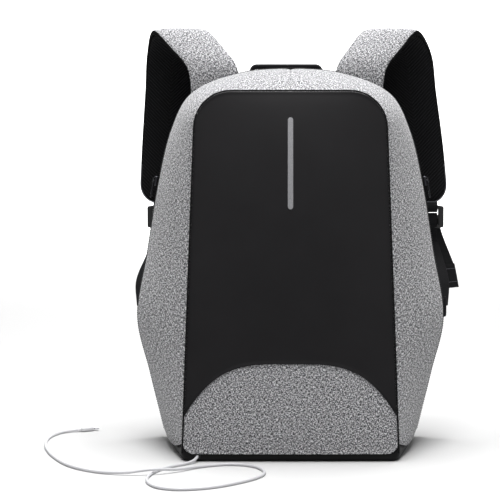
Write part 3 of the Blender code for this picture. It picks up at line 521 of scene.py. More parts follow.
# %% The lead on the floor
LEAD_RADIUS = 0.0016
FLOOR = LEAD_RADIUS + 0.0002
LEAD_ROUTE = ((-0.1020, -0.0795, 0.0057), (-0.1028, -0.0835, 0.0052),
              (-0.1055, -0.0890, 0.0034), (-0.1140, -0.0985, FLOOR),
              (-0.1300, -0.1150, FLOOR), (-0.1430, -0.1380, FLOOR), (-0.1500, -0.1700, FLOOR),
              (-0.1470, -0.1990, FLOOR), (-0.1360, -0.2210, FLOOR), (-0.1150, -0.2310, FLOOR),
              (-0.0840, -0.2230, FLOOR), (-0.0540, -0.1980, FLOOR), (-0.0320, -0.1660, FLOOR),
              (-0.0280, -0.1400, FLOOR), (-0.0400, -0.1120, FLOOR), (-0.0650, -0.1010, FLOOR),
              (-0.0960, -0.1130, FLOOR), (-0.1220, -0.1370, 0.0034), (-0.1470, -0.1500, 0.0058),
              (-0.1750, -0.1520, 0.0030), (-0.2050, -0.1420, FLOOR), (-0.2360, -0.1130, FLOOR),
              (-0.2620, -0.0580, FLOOR), (-0.2790, 0.0080, FLOOR), (-0.2800, 0.0620, FLOOR),
              (-0.2680, 0.0930, FLOOR), (-0.2500, 0.1030, 0.0026))
lead_path = smooth_route(LEAD_ROUTE, 360)
lead_mesh = solid("charging_lead_jacket", tube_grid(lead_path, LEAD_RADIUS))
lead = piece(lead_mesh, [LEAD_TPE], "shell", "charging_lead")

# %% [markdown]
# The connector is a small moulding with a soft waist where the lead enters, so it is one tube
# whose section is a rounded oblong. A superellipse gives that section: powers of cosine and sine
# below one flatten its sides.

# %% Connector and strain relief
def power(values, exponent):
    """A signed power, which keeps the sign of its base."""
    return np.sign(values) * np.abs(values) ** exponent


def loft_grid(route, across, outer, wide, thick, squareness, sides=28):
    """A superellipse section at each point of a route.

    The half width runs along across and the half thickness along outer; squareness 1 is an
    ellipse, and smaller values give flatter sides. wide and thick may vary along the route.
    """
    turn = full_turn(sides)[None, :, None]
    wide = np.broadcast_to(np.asarray(wide, float), len(route))[:, None, None]
    thick = np.broadcast_to(np.asarray(thick, float), len(route))[:, None, None]
    return (route[:, None] + across[:, None] * wide * power(np.cos(turn), squareness)
            + outer[:, None] * thick * power(np.sin(turn), squareness))


grip_low, grip_high = box_of("phone_connector")
tip_low, tip_high = box_of("connector_tip")
grip_centre = (grip_low + grip_high) / 2
heading = (tip_low + tip_high) / 2 - grip_centre
heading[2] = 0.0
heading /= np.linalg.norm(heading)
sideways = np.array((-heading[1], heading[0], 0.0))
upward = np.array((0.0, 0.0, 1.0))


def straight(centre, reach, stations):
    """Points along the connector's heading, from behind its centre to ahead of it."""
    return centre + heading * np.array(stations)[:, None] * reach


stations = [-1.0, -0.99, -0.93, -0.6, 0.0, 0.6, 0.93, 0.99, 1.0]
swell = np.array([0.60, 0.80, 0.95, 1.0, 1.0, 1.0, 0.97, 0.88, 0.7])
route = straight(grip_centre, 0.0080, stations)
grip_grid = loft_grid(route, np.tile(sideways, (9, 1)), np.tile(upward, (9, 1)),
                      0.0040 * swell, 0.0024 * swell, 0.6)
grip_mesh = solid("connector_grip", grip_grid)
grip = piece(grip_mesh, [WHITE_ABS], "shell", "phone_connector")
relief_ends = np.array([lead_path[-1] - heading * 0.004, grip_centre - heading * 0.0076])
relief_route = evenly_spaced(relief_ends, 8)
relief_radius = np.linspace(LEAD_RADIUS + 0.0002, 0.0023, 8)
boot = piece(solid("connector_relief", tube_grid(relief_route, relief_radius)), [WHITE_ABS], "shell")
finish_node("connector_tip", NICKEL)

# %% [markdown]
# ## Floor and light
#
# A pale sweep and broad soft lights, the way a catalogue shows a bag: a large overhead light
# bleaches the upward faces, and a weaker one from the front keeps the black parts readable.

# %% Studio
WORLD_STRENGTH = 0.22
SWEEP_HALF = 4.0
SWEEP_START = 3.8
SWEEP_DEPTH = 1.4
SWEEP_RISE = 2.2
STUDIO_LIGHTS = (("overhead", (0.0, 0.25, 2.2), (0.0, 0.0, 0.2), (1.3, 1.3), 88.0),
                 ("left_front", (-1.0, -2.2, 1.2), (0.0, 0.0, 0.2), (1.0, 1.0), 6.0),
                 ("right_front", (1.1, -2.1, 1.0), (0.0, 0.0, 0.2), (1.0, 1.0), 6.0),
                 ("brow", (0.0, -0.50, 0.95), (0.0, -0.02, 0.39), (0.5, 0.2), 2.4),
                 ("backdrop", (0.0, 3.2, 2.2), (0.0, 4.7, 0.4), (3.0, 1.0), 260.0))


def studio():
    """A floor that curves up behind the bag, five area lights and a bright even world."""
    reach = np.linspace(-SWEEP_HALF, SWEEP_HALF, 40)
    depth = np.linspace(-SWEEP_HALF, SWEEP_START + SWEEP_DEPTH, 80)
    x, y = np.meshgrid(reach, depth, indexing="ij")
    z = SWEEP_RISE * np.clip((y - SWEEP_START) / SWEEP_DEPTH, 0, 1) ** 2
    mat, tree, shader = start_material("pale_paper_sweep", 0.9, Specular_IOR_Level=0.1)
    shader.inputs["Base Color"].default_value = linear("c6c6c6")
    mesh = grid_mesh("floor", np.stack((x, y, z), axis=-1))
    floor = bpy.data.objects.new("floor", mesh)
    mesh.materials.append(mat)
    bpy.context.scene.collection.objects.link(floor)
    world = bpy.data.worlds.new("studio")
    world.use_nodes = True
    world.node_tree.nodes["Background"].inputs["Color"].default_value = (1.0, 1.0, 1.0, 1.0)
    world.node_tree.nodes["Background"].inputs["Strength"].default_value = WORLD_STRENGTH
    bpy.context.scene.world = world
    for name, place, aim, size, watts in STUDIO_LIGHTS:
        data = bpy.data.lights.new(name, "AREA")
        data.shape = "RECTANGLE"
        data.size, data.size_y = size
        data.energy = watts
        lamp = bpy.data.objects.new(name, data)
        lamp.location = place
        direction = Vector(aim) - Vector(place)
        lamp.rotation_euler = direction.to_track_quat("-Z", "Y").to_euler()
        bpy.context.scene.collection.objects.link(lamp)


studio()
scene = bpy.context.scene
scene.view_settings.view_transform = "Standard"

# %% [markdown]
# ## The body
#
# The bag is a shell between two outlines: the front face, a tall panel with round top corners, and
# the rear, which is widest at the hips and narrows to the shoulders. Both are curves of a few
# points, and each side is the straight rule between them plus a gentle swelling. On the real bag
# the foam behind the cloth makes that swelling, and each seam pulls it down into a shallow valley.
# The valleys are Gaussian dips that depend only on the distance from the seam.

# %% Outlines
BODY_HEIGHT = 0.430
HIP_HALF = 0.1775
REAR_Y = 0.0595
FRONT_BASE_Y = 0.078
FRONT_TOP_Y = 0.020
FRONT_HEIGHT = 0.405
FRONT_HALF_BASE = 0.119
FRONT_HALF_TOP = 0.107
FRONT_CORNER = 0.041
FRONT_BULGE = 0.009
GUSSET_BULGE = 0.004
BASE_RIM = 0.0090
PIPING_RADIUS = 0.0009
BINDING_RADIUS = 0.0011
CLOTH_THICK = 0.0020
REAR_SHAPE = ((0.814, 0.0), (0.920, 0.182), (1.0, 0.333), (0.932, 0.513), (0.856, 0.703),
              (0.774, 0.836), (0.650, 0.930), (0.350, 0.986), (0.0, 1.0))
INSIDE = (0.0, 0.0, BODY_HEIGHT / 2)
LOWER_EDGE = BASE_RIM + 0.0003


def rear_curve():
    """Half outline of the rear as (x, z) points, from the base to the top centre."""
    shape = np.array(REAR_SHAPE) * (HIP_HALF, BODY_HEIGHT)
    shape = np.vstack((shape, (-shape[-2][0], shape[-2][1])))
    curve = smooth_route(shape, 900)
    return curve[:np.argmin(np.abs(curve[:, 0])) + 1]


REAR_CURVE = rear_curve()


def front_half_at(z):
    """Half width of the front face at a height: a straight taper below the top corners."""
    share = np.clip(z / (FRONT_HEIGHT - FRONT_CORNER), 0, 1)
    return FRONT_HALF_BASE + (FRONT_HALF_TOP - FRONT_HALF_BASE) * share


def front_edge_y(z):
    """How far forward the front face's edge is at a height: it leans back towards the top."""
    share = np.clip(z / FRONT_HEIGHT, 0, 1)
    return -FRONT_BASE_Y + (FRONT_BASE_Y - FRONT_TOP_Y) * share ** 1.4


def front_y(x, z):
    """The front face: its leaning edge, less a swelling that is greatest in the middle."""
    share = np.clip(z / FRONT_HEIGHT, 0, 1)
    across = np.clip(np.abs(x) / front_half_at(z), 0, 1)
    return front_edge_y(z) - FRONT_BULGE * (1 - across ** 2) * np.sqrt(np.sin(math.pi * share) + 1e-9)


def front_curve(count_side, count_top):
    """Half outline of the front face: up the side, round the corner and in to the centre."""
    heights = np.linspace(LOWER_EDGE, FRONT_HEIGHT - FRONT_CORNER, count_side)
    side = np.stack((front_half_at(heights), heights), axis=1)
    turn = np.linspace(0, math.pi / 2, 40)
    arc = np.stack((FRONT_HALF_TOP - FRONT_CORNER + FRONT_CORNER * np.cos(turn),
                    FRONT_HEIGHT - FRONT_CORNER + FRONT_CORNER * np.sin(turn)), axis=1)
    top = evenly_spaced(np.vstack((arc, (0.0, FRONT_HEIGHT))), count_top)
    return np.vstack((side, top[1:]))


def rear_outline(count_side, count_top):
    """The rear half outline, read so that each point pairs with one of the front's."""
    split = FRONT_HEIGHT - FRONT_CORNER
    heights = np.linspace(LOWER_EDGE, split, count_side)
    side = np.stack((np.interp(heights, REAR_CURVE[:, 1], REAR_CURVE[:, 0]), heights), axis=1)
    upper = REAR_CURVE[REAR_CURVE[:, 1] > split]
    upper = np.vstack((side[-1], upper, (0.0, BODY_HEIGHT)))
    return np.vstack((side, evenly_spaced(upper, count_top)[1:]))


def rear_half_at(z):
    """Half width of the rear outline at a height."""
    return np.interp(z, REAR_CURVE[:, 1], REAR_CURVE[:, 0])


# %% Gussets
FOOT_RADIUS = 0.0120


def corner_rise(x):
    """How far the cloth is cut up over the base's front corners: a quarter circle near each side."""
    past = np.clip((np.abs(x) - (FRONT_HALF_BASE - FOOT_RADIUS)) / FOOT_RADIUS, 0, 1)
    return FOOT_RADIUS * (1 - np.sqrt(1 - (past * 0.97) ** 2))


def valley(distance, width, depth):
    """A seam's dip: its depth at the seam, fading as a Gaussian of the distance."""
    return -depth * np.exp(-(distance / width) ** 2)


def gusset_grid(side, phase):
    """One side and half of the top: the rule between the outlines, plus swelling, minus seams."""
    front = front_curve(110, 70)
    rear = rear_outline(110, 70)
    start = np.stack((front[:, 0], front_edge_y(front[:, 1]), front[:, 1]), axis=1)
    end = np.stack((rear[:, 0], np.full(len(rear), REAR_Y), rear[:, 1]), axis=1)
    tangent = directions((front + rear) / 2)
    sideways_share = np.clip(rear[:, 0] / 0.02, 0, 1)
    lift = np.stack((tangent[:, 1] * sideways_share, 0 * rear[:, 0], -tangent[:, 0]), axis=1)
    length = np.linalg.norm(end - start, axis=1)[:, None]
    first = 0.0009 / length
    share = first + (1 - first) * np.linspace(0, 1, 46)[None, :]
    along = np.linspace(0, 1, len(front))[:, None]
    swell = GUSSET_BULGE * 4 * share * (1 - share)
    swell = swell + valley(share * length, 0.0060, 0.0015) + valley((1 - share) * length, 0.0030, 0.0008)
    swell = swell + valley(np.broadcast_to(front[:, 1:] - LOWER_EDGE, share.shape), 0.0050, 0.0012)
    wave = np.sin(2 * math.pi * (2.3 * along + 0.35 * share) + phase)
    finer = np.sin(2 * math.pi * (5.1 * along - 0.8 * share) + 2 * phase)
    wave = wave * np.sin(math.pi * share) + 0.6 * finer
    swell = swell + 0.00055 * wave * np.sin(math.pi * share) ** 2
    top_seam = valley(np.broadcast_to(front[:, :1], share.shape), 0.0028, 0.0012)
    swell = swell + np.where(front[:, 1:] > BODY_HEIGHT * 0.9, top_seam, 0.0)
    grid = start[:, None] + (end - start)[:, None] * share[:, :, None] + lift[:, None] * swell[:, :, None]
    floor = LOWER_EDGE - 0.0006
    keep = np.clip((grid[:, :, 2] - floor) / 0.060, 0, 1)
    rise = corner_rise(FRONT_HALF_BASE) * np.exp(-(share * length / 0.030) ** 2)
    grid[:, :, 2] = np.maximum(grid[:, :, 2], floor) + rise * (1 - keep) ** 2
    return grid * (side, 1, 1)


for label, sign, phase in (("left", -1, 0.4), ("right", 1, 1.7)):
    grid = gusset_grid(sign, phase)
    coarser = running_length(grid) * (1.0, 0.5)
    mesh = face_away(grid_mesh("gusset_cloth_" + label, grid, uv=coarser), INSIDE)
    gusset = piece(mesh, [MELANGE, LINING], "shell", "gusset_" + label)
    wall(gusset, CLOTH_THICK, 1)

# %% [markdown]
# The front face is one swollen surface cut along an arch: coated cloth above it, melange below.
# Both halves are grids whose rows run between two curves, so each edge is a grid line, and the
# seam's valley follows it exactly.

# %% Front panel and pocket
ARCH_TIP = 0.0507
ARCH_RISE = 0.0570
ARCH_POWER = 3.6
EDGE_INSET = 0.0010


def arch(share):
    """Height of the pocket seam at a share of the half width."""
    return ARCH_TIP + ARCH_RISE * (1 - np.abs(share) ** ARCH_POWER)


def panel_top(share):
    """Upper edge of the front panel: level, with a quarter circle at each corner."""
    half = FRONT_HALF_TOP - EDGE_INSET
    radius = FRONT_CORNER - EDGE_INSET
    past = np.maximum(np.abs(share) * half - (half - radius), 0.0)
    return FRONT_HEIGHT - EDGE_INSET - radius + np.sqrt(np.maximum(radius ** 2 - past ** 2, 0.0))


def face_grid(low, high, columns, rows, edge_dips):
    """Rows between two heights that depend on the share across, set on the front's surface.

    The shares crowd towards the sides as a sine does, so that the round corners are well drawn.
    """
    share = np.sin(np.linspace(-1, 1, columns) * math.pi / 2)[:, None]
    step = np.linspace(0, 1, rows)[None, :]
    step = step - 0.12 * np.sin(2 * math.pi * step)
    z = low(share) * (1 - step) + high(share) * step
    x = share * (front_half_at(z) - EDGE_INSET)
    from_side = front_half_at(z) - np.abs(x)
    sink = valley(from_side, 0.0032, 0.0006)
    sink = sink + edge_dips[0] * np.exp(-((z - low(share)) / 0.0028) ** 2)
    sink = sink + edge_dips[1] * np.exp(-((high(share) - z) / 0.0028) ** 2)
    return np.stack((x, front_y(x, z) - sink, z), axis=-1)


def face_sheet(name, grid):
    """A sheet of the front, whose weave stays level: the map is simply X and Z."""
    return face_away(grid_mesh(name, grid, uv=grid[:, :, [0, 2]]), INSIDE)


panel_mesh = face_sheet("front_cloth", face_grid(arch, panel_top, 130, 120, (0.0010, 0.0006)))
panel = piece(panel_mesh, [COATED_FRONT, LINING], "shell", "front_panel")
wall(panel, CLOTH_THICK, 1)
pocket_grid = face_grid(lambda share: LOWER_EDGE - 0.0006 + corner_rise(share * FRONT_HALF_BASE),
                        lambda share: arch(share) - 0.0002, 130, 46, (0.0010, -0.0009))
pocket_mesh = face_sheet("pocket_cloth", pocket_grid)
pocket = piece(pocket_mesh, [MELANGE, LINING], "shell", "pocket_panel")
wall(pocket, CLOTH_THICK, 1)
print("front face", len(panel_mesh.polygons) + len(pocket_mesh.polygons), "faces")

# %% Piping round the front
half_line = front_curve(90, 60)
half_edge = np.stack((half_line[:, 0], front_edge_y(half_line[:, 1]), half_line[:, 1]), axis=1)
piping_line = np.vstack((half_edge[:-1] * (-1, 1, 1), half_edge[::-1]))
piping_mesh = solid("front_piping_cord", tube_grid(piping_line, PIPING_RADIUS, 12))
piece(piping_mesh, [BINDING], "shell", "front_piping")

# %% Reflective strip
TAPE_THICK = 0.0007
strip_low, strip_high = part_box("reflective_strip")
strip_half = (strip_high[0] - strip_low[0]) / 2
strip_z = strip_low[2] + (strip_high[2] - strip_low[2]) * (1 - np.cos(np.linspace(0, math.pi, 80))) / 2
from_end = np.minimum(strip_z - strip_low[2], strip_high[2] - strip_z)
round_end = np.sqrt(np.clip(1 - (1 - np.clip(from_end / strip_half, 0, 1)) ** 2, 0.0025, 1))
strip_x = (strip_half * round_end)[:, None] * np.linspace(-1, 1, 9)[None, :]
strip_heights = np.broadcast_to(strip_z[:, None], strip_x.shape)
strip_grid = np.stack((strip_x, front_y(strip_x, strip_heights) - 0.0006, strip_heights), axis=-1)
strip_mesh = face_away(grid_mesh("reflective_tape_strip", strip_grid), INSIDE)
strip = piece(strip_mesh, [REFLECTIVE], "shell", "reflective_strip")
wall(strip, TAPE_THICK)

# %% [markdown]
# ## The base
#
# The base is a shallow tray of coated cloth over a stiff board. Its plan narrows towards the front
# and has round corners, and its lower edge is rolled. The tray is one grid: rings of the plan
# outline, each a little further in or up than the last, closed by a flat floor.

# %% Base tray and its grommet
BASE_WALL = 0.0020
BASE_CORNER = 0.0120
OUTLET = (-0.1020, -FRONT_BASE_Y + BASE_WALL / 2, 0.0057)


def base_plan(inset, per_corner=14):
    """The plan outline as points: a trapezium whose corners are arcs, moved in by inset."""
    rear_half = rear_half_at(0.0)
    corners = np.array(((-rear_half, REAR_Y), (-FRONT_HALF_BASE, -FRONT_BASE_Y),
                        (FRONT_HALF_BASE, -FRONT_BASE_Y), (rear_half, REAR_Y)))
    points = []
    for before, here, after in zip(np.roll(corners, 1, 0), corners, np.roll(corners, -1, 0)):
        back = (before - here) / np.linalg.norm(before - here)
        ahead = (after - here) / np.linalg.norm(after - here)
        half = math.acos(back @ ahead) / 2
        centre = here + (back + ahead) / np.linalg.norm(back + ahead) * BASE_CORNER / math.sin(half)
        first = here + back * BASE_CORNER / math.tan(half) - centre
        sweep = math.pi - 2 * half
        turn = np.linspace(0, sweep, per_corner)[:, None]
        square = np.array((-first[1], first[0]))
        arc = np.cos(turn) * first + np.sin(turn) * square
        points.append(centre + arc * (1 - inset / BASE_CORNER))
    return closed_loop(np.vstack(points), 240)


tray_profile = ((0.0026, 0.0080), (0.0022, BASE_RIM), (0.0004, BASE_RIM), (0.0, 0.0084), (0.0, 0.0040),
                (0.0004, 0.0022), (0.0014, 0.0008), (0.0032, 0.0), (0.0110, 0.0))
tray_rings = []
for inset, height in tray_profile:
    plan = base_plan(inset)
    forward = np.clip((-plan[:, 1] - 0.030) / 0.048, 0, 1) ** 2
    rim = height * (1 + 1.05 * corner_rise(plan[:, 0]) / BASE_RIM * forward)
    tray_rings.append(np.column_stack((plan, rim)))
tray_mesh = solid("base_tray", np.stack(tray_rings))
piece(tray_mesh, [COATED_BASE], "shell", "base_panel")

grommet_profile = np.array(((0.0019, -0.0021), (0.0031, -0.0021), (0.0034, -0.0016), (0.0034, -0.0012),
                            (0.0027, -0.0010), (0.0027, 0.0010), (0.0034, 0.0012), (0.0034, 0.0017),
                            (0.0030, 0.0022), (0.0022, 0.0023), (0.0019, 0.0019), (0.0019, -0.0021)))
spin = full_turn(28)[None, :]
grommet = np.stack((OUTLET[0] + grommet_profile[:, :1] * np.cos(spin),
                    OUTLET[1] - grommet_profile[:, 1:] + 0 * spin,
                    OUTLET[2] + grommet_profile[:, :1] * np.sin(spin)), axis=-1)
piece(solid("lead_grommet", grommet), [RUBBER], "shell", "lead_outlet")

# %% [markdown]
# ## The zip
#
# The whole back opens on a coil zip that runs from base to base over the top. Each half is a tape
# with a row of coil teeth on its edge. One tooth is a small bar of a dozen faces; every copy is the
# same bar turned into the local directions of the zip, worked out for all copies at once.

# %% Copies along a line
def repeated_mesh(name, corners, faces, places, ahead, outward):
    """Copies of a small shape: its x runs ahead, its y outward and its z square to both."""
    side = np.cross(ahead, outward)
    axes = np.stack((ahead, outward, side), axis=1)
    points = places[:, None] + np.einsum("vk,nkc->nvc", corners, axes)
    shift = (np.arange(len(places)) * len(corners))[:, None, None]
    mesh = bpy.data.meshes.new(name)
    mesh.from_pydata(points.reshape(-1, 3).tolist(), [], (faces[None] + shift).reshape(-1, 4).tolist())
    mesh.shade_smooth()
    return mesh


def bar(length, width, height):
    """An eight-sided bar with pinched ends: corners and quads, its base at y = 0."""
    station = np.array((-0.5, -0.36, 0.36, 0.5)) * length
    pinch = np.array((0.55, 1.0, 1.0, 0.55))
    turn = full_turn(8)
    ring = np.stack((np.sin(turn) * height / 2, np.cos(turn) * width / 2), axis=1)
    corners = np.concatenate([np.column_stack((np.full(8, x), ring * share))
                              for x, share in zip(station, pinch)])
    k = np.arange(8)
    after = (k + 1) % 8
    sides = [np.stack((k + r, after + r, after + r + 8, k + r + 8), axis=1) for r in (0, 8, 16)]
    caps = np.array(((0, 3, 2, 1), (0, 5, 4, 3), (0, 7, 6, 5),
                     (24, 25, 26, 27), (24, 27, 28, 29), (24, 29, 30, 31)))
    return corners, np.vstack(sides + [caps])


# %% Zip tapes and teeth
ZIP_WIDTH = 0.0030
ZIP_SHELL_Y = REAR_Y + 0.001083
ZIP_BACK_Y = ZIP_SHELL_Y + ZIP_WIDTH + 0.0003
BOARD_LOW = BASE_RIM + 0.0035
TOOTH_PITCH = 0.0026


def zip_loop(count):
    """The rear outline as one line from base to base over the top, at equal steps."""
    half = REAR_CURVE[REAR_CURVE[:, 1] > BOARD_LOW]
    loop = np.vstack((half * (-1, 1), half[::-1][1:]))
    return evenly_spaced(loop, count)


def zip_half(name, near, teeth_share, node, body):
    """A tape with rolled edges from y = near, and teeth at a share of its width."""
    loop = zip_loop(360)
    ahead = directions(loop)
    out = np.stack((-ahead[:, 1], ahead[:, 0]), axis=1)
    section = np.array(((-0.0015, 0.0), (-0.0002, 0.0), (0.0, 0.15), (0.0, 0.85), (-0.0002, 1.0),
                        (-0.0015, 1.0)))
    rim = loop[:, None] + out[:, None] * section[None, :, :1]
    y = near + ZIP_WIDTH * np.broadcast_to(section[None, :, 1], rim.shape[:2])
    grid = np.stack((rim[:, :, 0], y, rim[:, :, 1]), axis=-1)
    piece(solid(name, grid), [BINDING], body, node)
    count = int(length_of(loop) / TOOTH_PITCH)
    places = zip_loop(count)
    along = directions(places)
    outward = np.stack((-along[:, 1], 0 * along[:, 0], along[:, 0]), axis=1)
    depth = np.full(count, near + teeth_share * ZIP_WIDTH)
    spots = np.column_stack((places[:, 0], depth, places[:, 1])) + outward * 0.0001
    across = np.tile((0.0, 1.0, 0.0), (count, 1))
    corners, faces = bar(0.0026, 0.0015, 0.0011)
    teeth = repeated_mesh(name + "_teeth", corners, faces, spots, across, outward)
    piece(teeth, [ZIP_NYLON], body)
    return count


tooth_count = zip_half("zip_tape_on_shell", ZIP_SHELL_Y, 0.70, "zip_tape_shell", "shell")
zip_half("zip_tape_on_back", ZIP_BACK_Y, 0.30, "zip_tape_back", "back_panel")
print("zip teeth on each half", tooth_count)

# %% [markdown]
# The sliders and pulls are plated zinc castings. Their solids have the right size but sharp edges,
# so each is taken from the frame, welded, and rounded with a Bevel.

# %% Rounded copies of hard solids
def refined(name, node, mat, body, rounding, segments=3):
    """A copy of a solid with its loose triangles welded and dissolved, and its edges rounded."""
    mesh = bpy.data.objects[node].data.copy()
    mesh.materials.clear()
    with editing(mesh) as work:
        bmesh.ops.remove_doubles(work, verts=work.verts, dist=1e-5)
        bmesh.ops.dissolve_limit(work, angle_limit=math.radians(4), verts=work.verts, edges=work.edges)
    mesh.name = name
    mesh.shade_smooth()
    obj = piece(mesh, [mat], body, node)
    edge = obj.modifiers.new("rounding", "BEVEL")
    edge.width = rounding
    edge.segments = segments
    edge.limit_method = "ANGLE"
    edge.angle_limit = math.radians(35)
    return obj


# %% Sliders and pulls
for label, sign in SIDES:
    refined("zip_slider_body_" + label, "zip_slider_" + label, GUNMETAL, "slider_" + label, 0.0006)
    refined("zip_pull_tab_" + label, "zip_pull_" + label, GUNMETAL, "pull_" + label, 0.0005)
    low, high = box_of("zip_slider_" + label)
    middle = (low + high) / 2
    arch_turn = np.linspace(0, math.pi, 17)[:, None]
    outer_x = middle[0] + sign * (high[0] - low[0]) * 0.30
    bail = np.array((outer_x, middle[1], middle[2])) + np.concatenate(
        (sign * 0.0026 * np.sin(arch_turn), 0 * arch_turn, 0.0042 * np.cos(arch_turn)), axis=1)
    bail_mesh = solid("zip_bail_" + label, tube_grid(bail, 0.0005, 8))
    piece(bail_mesh, [GUNMETAL], "slider_" + label)

# %% [markdown]
# ## The back panel
#
# The panel that opens is a foam board in a cloth cover. A slab with a soft edge is a set of rings:
# each ring is the outline drawn in towards a centre, and its depth follows a rounded profile. The
# same function makes every sewn-on patch.

# %% Slabs with soft edges
def outline_xz(corners, radius, count):
    """A polygon in X and Z with its corners rounded, as evenly spaced points."""
    corners = np.array(corners, float)
    points = []
    for before, here, after in zip(np.roll(corners, 1, 0), corners, np.roll(corners, -1, 0)):
        start = here + (before - here) / np.linalg.norm(before - here) * radius
        end = here + (after - here) / np.linalg.norm(after - here) * radius
        t = np.linspace(0, 1, 9)[:, None]
        points.append((1 - t) ** 2 * start + 2 * t * (1 - t) * here + t ** 2 * end)
    return closed_loop(np.vstack(points), count)


def slab_mesh(name, outline, centre, front, back, edge, crown=0.0, channel=None):
    """Rings of an outline: the near face, a round edge, and the far face.

    edge is the radius of the rim. crown swells the far face as 1 - r^2 of the share r of the way
    out, and channel = (distance, width, depth) sinks a sewn line along the rim.
    """
    reach = np.linalg.norm(outline - centre, axis=1)
    size = reach.mean()
    shares = np.concatenate((np.linspace(0.02, 0.86, 22), np.linspace(0.87, 1 - edge / size, 22)))
    turn = np.linspace(0, math.pi / 2, 6)[1:]
    far_rim = 1 - edge / size + edge / size * np.sin(turn)
    far_drop = edge * (1 - np.cos(turn))
    share = np.concatenate((shares, far_rim, far_rim[::-1], shares[::-1]))
    far = back + crown * (1 - shares ** 2)
    if channel is not None:
        far = far - channel[2] * np.exp(-(((1 - shares) * size - channel[0]) / channel[1]) ** 2)
    depth = np.concatenate((far, back - far_drop, front + far_drop[::-1], np.full(len(shares), front)))
    ring = centre + (outline - centre)[None] * share[:, None, None]
    depth = np.broadcast_to(depth[:, None], ring.shape[:2])
    grid = np.stack((ring[:, :, 0], depth, ring[:, :, 1]), axis=-1)
    uv = np.concatenate((ring, ring[:, :1]), axis=1)
    return solid(name, grid, uv)


# %% Board, yoke and wings
BOARD_Y = ZIP_BACK_Y + ZIP_WIDTH + 0.0003
BOARD_BACK_Y = BOARD_Y + 0.0080
PAD_Y = BOARD_BACK_Y + 0.0003
board_loop = zip_loop(320)
BACK_CLOTH = coated("black_back_cloth", "101012", "1b1b1d", 0.82, 0.9, 0.2)
board_mesh = slab_mesh("back_board_cover", board_loop, np.array((0.0, 0.20)), BOARD_Y, BOARD_BACK_Y,
                       0.0022, channel=(0.010, 0.0020, 0.0012))
piece(board_mesh, [BACK_CLOTH], "back_panel", "back_board")


def centred_box(node):
    """Centre and half sizes of a node's box."""
    low, high = box_of(node)
    return (low + high) / 2, (high - low) / 2


def rectangle(centre, half):
    """Corners in X and Z of a box seen from behind."""
    x, z = centre[0], centre[2]
    return ((x - half[0], z - half[2]), (x + half[0], z - half[2]), (x + half[0], z + half[2]),
            (x - half[0], z + half[2]))


def stitches(name, line, outward, mat, body, pitch=0.0034, radius=0.00035):
    """A row of thread stitches: short bars lying on a surface along a line."""
    places = evenly_spaced(line, max(int(length_of(line) / pitch), 2))
    ahead = directions(places)
    outward = np.broadcast_to(np.asarray(outward, float), places.shape)
    outward = unit(outward - np.sum(outward * ahead, axis=1)[:, None] * ahead)
    corners, faces = bar(pitch * 0.72, 2.2 * radius, 2 * radius)
    return piece(repeated_mesh(name, corners, faces, places, ahead, outward), [mat], body)


def loop_on_back(corners, y):
    """A closed line through corners in X and Z, at a depth."""
    corners = np.array(list(corners) + [corners[0]], float)
    return np.column_stack((corners[:, 0], np.full(len(corners), y), corners[:, 1]))


yoke_centre, yoke_half = centred_box("strap_yoke")
yoke_outline = outline_xz(rectangle(yoke_centre, yoke_half), 0.004, 200)
yoke_mesh = slab_mesh("yoke_cloth", yoke_outline, yoke_centre[[0, 2]], PAD_Y, PAD_Y + 0.0020, 0.0008)
piece(yoke_mesh, [BACK_CLOTH], "back_panel", "strap_yoke")
for index, row in enumerate((0.012, -0.012)):
    line = np.array(((yoke_centre[0] - yoke_half[0] + 0.004, PAD_Y + 0.0021, yoke_centre[2] + row),
                     (yoke_centre[0] + yoke_half[0] - 0.004, PAD_Y + 0.0021, yoke_centre[2] + row)))
    stitches("yoke_stitches_%d" % index, line, (0, 1, 0), THREAD, "back_panel")

ANCHOR_Z = 0.152
for label, sign in SIDES:
    corners = ((0.1405, ANCHOR_Z - 0.019), (rear_half_at(ANCHOR_Z - 0.012) - 0.0015, ANCHOR_Z - 0.011),
               (rear_half_at(ANCHOR_Z + 0.012) - 0.0015, ANCHOR_Z + 0.011), (0.1405, ANCHOR_Z + 0.023))
    corners = [(sign * x, z) for x, z in corners]
    middle = np.mean(corners, axis=0)
    wing = slab_mesh("wing_cloth_" + label, outline_xz(corners, 0.003, 120), middle, PAD_Y,
                     PAD_Y + 0.0030, 0.0010)
    piece(wing, [BACK_CLOTH], "back_panel", "anchor_wing_" + label)
    inner = middle + (np.array(corners) - middle) * 0.80
    stitches("wing_stitches_" + label, loop_on_back(inner.tolist(), PAD_Y + 0.0031), (0, 1, 0), THREAD,
             "back_panel", 0.0028)
    centre, half = centred_box("handle_anchor_" + label)
    patch_outline = outline_xz(rectangle(centre, half), 0.0015, 80)
    patch = slab_mesh("handle_patch_" + label, patch_outline, centre[[0, 2]], PAD_Y,
                      PAD_Y + 0.0022, 0.0007)
    piece(patch, [WEBBING], "back_panel", "handle_anchor_" + label)
    box_line = loop_on_back(rectangle(centre, half * 0.76), PAD_Y + 0.0023)
    stitches("handle_patch_stitches_" + label, box_line, (0, 1, 0), THREAD, "back_panel", 0.0022)

# %% [markdown]
# ## Back pads
#
# The pads are foam under spacer mesh, sewn down round their rims. They are inflated by a short
# cloth simulation from a slightly smaller block, so their edges roll and their faces crown as foam
# does. Channels are then pressed across them, where the real pads are quilted.

